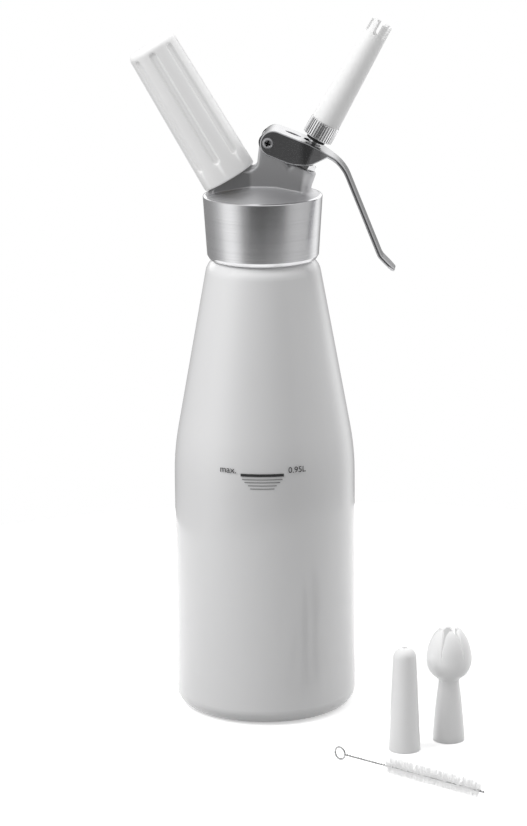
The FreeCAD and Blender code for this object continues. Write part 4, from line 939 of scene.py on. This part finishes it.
# The tulip tip's points of radius and height, and a cut's of half its width and height, in
# millimetres.
TULIP_HEIGHT = 61.0
TULIP_OUTSIDE = (
    (8.4, 0.0), (8.35, 3.0), (7.8, 11.6), (6.7, 22.0), (5.6, 30.5), (5.4, 33.1), (6.3, 34.3),
    (7.7, 35.4), (9.1, 36.6), (10.5, 38.5), (11.5, 40.9), (12.0, 44.0), (11.85, 47.4),
    (11.1, 51.4), (10.0, 54.4), (8.4, 57.6), (6.6, 60.0), (5.2, 61.0))
TULIP_INSIDE = (
    (4.1, 60.2), (5.4, 58.9), (7.3, 56.4), (9.3, 51.4), (10.2, 47.6), (10.3, 44.4),
    (9.4, 41.0), (7.5, 38.6), (4.0, 36.9), (4.0, 30.0), (6.3, 18.0), (6.9, 0.0))
PETAL_CUT = ((0.0, 45.0), (0.4, 52.0), (0.8, 57.5), (1.15, 59.6), (1.8, 60.7), (2.0, 64.0))
CUT_REACH = 16 * MM


def part_petals(tulip, turn, scale):
    """Cut a wedge out between two petals, which rounds their ends off."""
    outline = PETAL_CUT + tuple((-x, z) for x, z in reversed(PETAL_CUT[1:]))
    cutter = slab("cutter", [(x * MM, z * scale) for x, z in outline], 0, -CUT_REACH)
    move(cutter, turned(turn))
    apply_modifier(tulip, "BOOLEAN", object=cutter, operation="DIFFERENCE", solver="EXACT")
    bpy.data.objects.remove(cutter)


class DISPENSER_OT_tulip(Operator):
    """Turn the tulip tip and cut its petals"""
    bl_idname = "dispenser.tulip"
    bl_label = "Tulip tip"

    def execute(self, context):
        tips = context.scene.dispenser.tips
        low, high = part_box("tulip_tip")
        centre = (low + high) / 2
        scale = (high.z - low.z) / TULIP_HEIGHT
        tulip = lathe("tulip_petals", [(radius * MM, z * scale, 0)
                                       for radius, z in TULIP_OUTSIDE + TULIP_INSIDE],
                      steps=96, hollow=True)
        for petal in range(tips.petal_count):
            part_petals(tulip, tips.petal_turn + FULL_TURN * petal / tips.petal_count, scale)
        apply_modifier(tulip, "BEVEL", width=0.25 * MM, segments=2, limit_method="ANGLE",
                       angle_limit=math.radians(50))
        smooth(tulip)
        move(tulip, shifted((centre.x, centre.y, low.z)))
        finish_piece(tulip, "tulip_tip", white_plastic(tips), "white_plastic", "tulip_tip")
        # The inward faces above the petals' foot take the painted glow, painted light in the
        # tip's shaded hollow.
        tulip.data.materials.append(painted_glow_plastic(tips))
        outward_share = 0.1
        for face in tulip.data.polygons:
            out = Vector((face.center.x - centre.x, face.center.y - centre.y, 0)).normalized()
            if (face.center.z > low.z + tips.petal_foot
                    and face.normal.dot(out) < outward_share):
                face.material_index = 1
        return {"FINISHED"}


RING_RADIUS, RING_WIRE = 3.2 * MM, 0.5 * MM
STRAND_RADIUS, STRAND_OFFSET, STRAND_SIDES, STRAND_TURNS = 0.27 * MM, 0.33 * MM, 8, 24
# Radii over which the wire's painted shade fades from the groove between its strands to its
# crests.
WIRE_GROOVE, WIRE_CREST = 0.3 * MM, 0.55 * MM
BRISTLE_ROOT, BRISTLE_RADII, BRISTLE_COUNT = 0.5 * MM, (0.07 * MM, 0.06 * MM), 2600
# How far a bristle's turn and lean, in radians, and its height stray, and its share of the
# full reach.
BRISTLE_SEED, TURN_SPREAD, LEAN_SPREAD, HEIGHT_SPREAD = 7, 0.9, 0.05, 0.16 * MM
LEAST_REACH, FULL_REACH = 0.86, 0.97
# What the upper bristles' reach gains, how far down that goes, and the far end's share of the
# brush over which the gain fades.
UPPER_GAIN, UPPER_FOOT, FADE = 0.42, 0.35, 0.12


def twist_strand(start, end, half_turn):
    """One of the wire's two strands, as a helix along Z."""
    start_clean()
    bpy.ops.mesh.primitive_circle_add(vertices=STRAND_SIDES, radius=STRAND_RADIUS,
                                      rotation=UPRIGHT, location=(STRAND_OFFSET, 0, start))
    piece = added("strand")
    steps = STRAND_TURNS * 12
    apply_modifier(piece, "SCREW", axis="Z", angle=FULL_TURN * STRAND_TURNS,
                   screw_offset=end - start, steps=steps, render_steps=steps,
                   use_merge_vertices=False)
    with editing(piece):
        bpy.ops.mesh.fill_holes(sides=STRAND_SIDES)
    move(piece, turned(half_turn))
    return piece


def lay_down(piece, brush):
    """Turn a piece that was modelled on Z along the brush's heading."""
    move(piece, shifted(brush.ring_centre) @ turned(brush.heading)
         @ turned(QUARTER_TURN, Y_AXIS))


def twist_wire(brush):
    """The ring and the two strands, as one piece along Z."""
    start_clean()
    bpy.ops.mesh.primitive_torus_add(major_radius=RING_RADIUS, minor_radius=RING_WIRE,
                                     major_segments=48, minor_segments=10, rotation=UPRIGHT)
    pieces = [added("ring")]
    for half_turn in (0.0, math.pi):
        pieces.append(twist_strand(RING_RADIUS, brush.reach, half_turn))
    wire = joined("brush_twisted_wire", pieces)
    facing_out(wire)
    smooth(wire, 60)
    return wire


def set_bristles(context, brush):
    """Two rows of bristles that wind round Z. They are longer above and at the sides, and
    shorter again towards the far end."""
    draw = random.Random(BRISTLE_SEED)
    start_clean()
    root, tip = BRISTLE_ROOT, brush.radius
    foot_radius, end_radius = BRISTLE_RADII
    bpy.ops.mesh.primitive_cone_add(vertices=3, radius1=foot_radius, radius2=end_radius,
                                    depth=tip - root, location=(0, 0, (tip + root) / 2))
    bristle = added("bristle")
    span = brush.bristle_end - brush.bristle_start - 0.5 * MM
    turns = span / (2 * brush.tuft_pitch)
    copies = []
    for index in range(BRISTLE_COUNT):
        along = index / BRISTLE_COUNT
        row = math.pi * (index % 2)
        turn = FULL_TURN * turns * along + row + draw.gauss(0, TURN_SPREAD)
        lean = draw.gauss(0, LEAN_SPREAD)
        fade = min(1.0, (1 - along) / FADE)
        up = min(1.0, max(0.0, UPPER_FOOT - math.cos(turn)))
        reach = draw.uniform(LEAST_REACH, FULL_REACH) * (1 + UPPER_GAIN * up * fade)
        height = brush.bristle_start + span * along + draw.gauss(0, HEIGHT_SPREAD)
        copy = bristle.copy()
        copy.data = bristle.data.copy()
        context.scene.collection.objects.link(copy)
        copy.matrix_world = (shifted((0, 0, height)) @ turned(turn)
                             @ turned(QUARTER_TURN + lean, Y_AXIS) @ Matrix.Scale(reach, 4))
        copies.append(copy)
    bpy.data.objects.remove(bristle)
    tufts = joined("brush_tufts", copies)
    settle(tufts)
    return tufts


class DISPENSER_OT_brush(Operator):
    """Twist the brush's wire and set its bristles"""
    bl_idname = "dispenser.brush"
    bl_label = "Brush"

    def execute(self, context):
        brush = context.scene.dispenser.brush
        wire = twist_wire(brush)
        lay_down(wire, brush)
        heading = Vector((math.cos(brush.heading), math.sin(brush.heading), 0.0))
        # Painted shade between the wire's strands.
        metal = groove_shaded_metal("twisted_wire", brush.ring_centre, heading, WIRE_GROOVE,
                              WIRE_CREST, bright=0.42)
        finish_piece(wire, "brush", metal, "bright_steel", "brush_wire")

        tufts = set_bristles(context, brush)
        lay_down(tufts, brush)
        finish_piece(tufts, "brush", nylon(brush), "brush_bristles", "brush_bristles")
        return {"FINISHED"}


class DISPENSER_OT_small_parts(Operator):
    """Give every remaining piece its finish"""
    bl_idname = "dispenser.small_parts"
    bl_label = "Small parts"

    def execute(self, context):
        for material, nodes in (
                (bright_metal("bright_steel", (0.66, 0.66, 0.67), roughness=0.16),
                 "piercing_pin valve_nut valve_stem seal_retainer stem_collar valve_spring "
                 "pivot_nut"),
                (bright_metal("plated_brass", (0.66, 0.52, 0.3), roughness=0.2),
                 "piercer_body holder_insert pivot_sleeve"),
                (bright_metal("charger_steel", (0.55, 0.55, 0.56), roughness=0.26),
                 "charger_bulb"),
                (screw_steel(), "pivot_screw"),
                (black_rubber(), "head_gasket piercer_seal gas_check_valve stem_oring "
                 "valve_seal pivot_washers"),
                (white_plastic(context.scene.dispenser.tips), "star_tip plain_tip")):
            for node in nodes.split():
                frame["nodes"][node].material_slots[0].material = material
        return {"FINISHED"}


BRIGHTEST_WALL, CEILING, SCREEN_DIMS = 1.7, 0.6, 0.55
# The studio that shows in the metal: turn from the camera in degrees, to the right, and light.
STUDIO_WALLS = [(turn / 360 + 0.5, level / BRIGHTEST_WALL) for turn, level in (
    (-180, 0.35), (-150, 0.35), (-135, 0.4), (-117, 0.46), (-97, 0.7), (-80, 1.2), (-65, 1.3),
    (-52, 1.0), (-39, 0.45), (-26, 0.3), (-14, 0.27), (0, 0.22), (10, 0.29), (22, 0.31),
    (34, 0.40), (47, 0.54), (61, 0.67), (75, 0.73), (91, 0.69), (110, 0.64), (128, 1.3),
    (138, 1.3), (158, 0.35), (180, 0.35))]
# Directions from the object: to the camera, to its right, behind, up, and to a dark screen
# that stands low down beside the camera.
FRONT, RIGHT, BEHIND = (0.087, -0.996, 0.0), (0.996, 0.087, 0.0), (-0.087, 0.996, 0.0)
UP, SCREEN = (0.0, 0.0, 1.0), (0.259, -0.966, 0.0)

FLOOR_CENTRE = (0.03, -0.02, -0.0002)
FLOOR_LIT, FLOOR_SHOWN, FLOOR_GLOW = 0.3, 0.9, 0.46

LAMP_TARGET = Vector((0, 0, 0.17))
# Each soft lamp's name, place, width and height in metres, and its power in watts.
LAMPS = (("left_softbox", (-1.0, -0.5, 1.3), 0.9, 1.2, 19.5),
         ("right_softbox", (1.17, 0.67, 0.8), 0.9, 1.2, 6.5),
         ("top_softbox", (0.8, 0.1, 1.4), 1.2, 1.0, 4.5))


def seen_directly(finish):
    """1 where a ray comes from the camera, a mirror or glass, 0 for light on the object."""
    total = finish.ray("Camera") + finish.ray("Glossy") + finish.ray("Transmission")
    return finish.node("ShaderNodeClamp", None, {"Value": total})


def set_floor(stage):
    """A pale table top that throws little light back at the object."""
    start_clean()
    bpy.ops.mesh.primitive_circle_add(vertices=96, radius=stage.floor_radius,
                                      fill_type="NGON", location=FLOOR_CENTRE)
    floor = added("table_top")
    finish = Finish("table_top")
    seen = seen_directly(finish)
    finish.surface(
        Base_Color=finish.tint(seen, [FLOOR_LIT] * 3, [FLOOR_SHOWN] * 3),
        Roughness=0.8,
        Emission_Color=finish.tint(seen, (0, 0, 0), (1, 1, 1)),
        Emission_Strength=FLOOR_GLOW,
        Specular_IOR_Level=0.0,
    )
    floor.data.materials.append(finish.material)


def set_room(context, stage):
    """White for the camera and an even grey for light on the object. Mirrors show a studio
    that is dark round the camera, with a bright wall on the left and a white back."""
    world = bpy.data.worlds.new("studio")
    context.scene.world = world
    finish = Finish("studio", world)
    direction = finish.node("ShaderNodeTexCoord", output="Generated")

    def towards(aim):
        return finish.vector("DOT_PRODUCT", direction, aim, output="Value")

    def patch(aim, start, full):
        return finish.ramp(towards(aim), start, full, "SMOOTHSTEP")

    side = towards(RIGHT)
    turn = side.maths("ARCTAN2", side, towards(FRONT))
    walls = finish.node("ShaderNodeValToRGB", {"stops": STUDIO_WALLS},
                        {"Fac": turn * (1 / FULL_TURN) + 0.5})
    overhead = patch(UP, 0.3, 0.9)
    back = patch(BEHIND, 0.5, 0.85) * patch(UP, 0.04, 0.2)
    screen = patch(SCREEN, 0.7, 0.88) * patch(UP, -0.33, -0.26)
    low = walls * (1 - overhead) + overhead * CEILING
    shown = (low * (1 - back) + back) * (1 - screen * SCREEN_DIMS) * BRIGHTEST_WALL
    level = (finish.ray("Camera") + finish.ray("Glossy") * shown
             + (1 - seen_directly(finish)) * stage.room_light)
    light = finish.node("ShaderNodeBackground", None, {"Color": (1, 1, 1, 1), "Strength": level})
    finish.node("ShaderNodeOutputWorld", None, {"Surface": light})


def set_lamp(name, place, width, height, power):
    """A soft lamp that lights the object and doesn't show in its metal."""
    start_clean()
    bpy.ops.object.light_add(type="AREA", location=place)
    lamp = bpy.context.object
    lamp.name = name
    lamp.data.shape = "RECTANGLE"
    lamp.data.size, lamp.data.size_y, lamp.data.energy = width, height, power
    lamp.visible_glossy = False
    aim = LAMP_TARGET - Vector(place)
    lamp.rotation_euler = aim.to_track_quat("-Z", "Y").to_euler()


def set_camera(context, stage):
    start_clean()
    place = Vector(stage.camera_place)
    bpy.ops.object.camera_add(location=place)
    camera = bpy.context.object
    aim = Vector(stage.camera_target) - place
    look = aim.to_track_quat("-Z", "Y").to_matrix().to_4x4()
    camera.matrix_world = shifted(place) @ look @ turned(stage.camera_roll)
    camera.data.sensor_fit = "VERTICAL"
    camera.data.sensor_height = 36.0
    camera.data.lens = stage.focal_length
    context.scene.camera = camera


class DISPENSER_OT_stage(Operator):
    """Set the table top, the soft studio light and the camera"""
    bl_idname = "dispenser.stage"
    bl_label = "Stage"

    def execute(self, context):
        stage = context.scene.dispenser.stage
        set_floor(stage)
        set_room(context, stage)
        for lamp in LAMPS:
            set_lamp(*lamp)
        set_camera(context, stage)
        context.scene.view_settings.view_transform = "Standard"
        return {"FINISHED"}


class DISPENSER_PT_panel(Panel):
    """Buttons and settings in the sidebar"""
    bl_idname = "DISPENSER_PT_panel"
    bl_label = "Whipped Cream Dispenser"
    bl_space_type = "VIEW_3D"
    bl_region_type = "UI"
    bl_category = "Dispenser"

    def draw(self, context):
        dispenser = context.scene.dispenser
        for part in dispenser.__annotations__:
            group, box = getattr(dispenser, part), self.layout.box()
            for name in group.__annotations__:
                box.prop(group, name)
        for operator in OPERATORS:
            self.layout.operator(operator.bl_idname)


GROUPS = (BottleSettings, HeadSettings, LeverSettings, TipSettings, BrushSettings,
          StageSettings, DispenserSettings)
OPERATORS = (DISPENSER_OT_bottle, DISPENSER_OT_fill_mark, DISPENSER_OT_head,
             DISPENSER_OT_lever, DISPENSER_OT_adapter, DISPENSER_OT_holder,
             DISPENSER_OT_tulip, DISPENSER_OT_brush, DISPENSER_OT_small_parts,
             DISPENSER_OT_stage)
CLASSES = GROUPS + OPERATORS + (DISPENSER_PT_panel,)


def register():
    for group in CLASSES:
        bpy.utils.register_class(group)
    bpy.types.Scene.dispenser = PointerProperty(type=DispenserSettings)


def unregister():
    del bpy.types.Scene.dispenser
    for group in reversed(CLASSES):
        bpy.utils.unregister_class(group)


def main():
    register()
    bpy.ops.dispenser.bottle()
    bpy.ops.dispenser.fill_mark()
    bpy.ops.dispenser.head()
    bpy.ops.dispenser.lever()
    bpy.ops.dispenser.adapter()
    bpy.ops.dispenser.holder()
    bpy.ops.dispenser.tulip()
    bpy.ops.dispenser.brush()
    bpy.ops.dispenser.small_parts()
    bpy.ops.dispenser.stage()


if __name__ == "__main__":
    main()
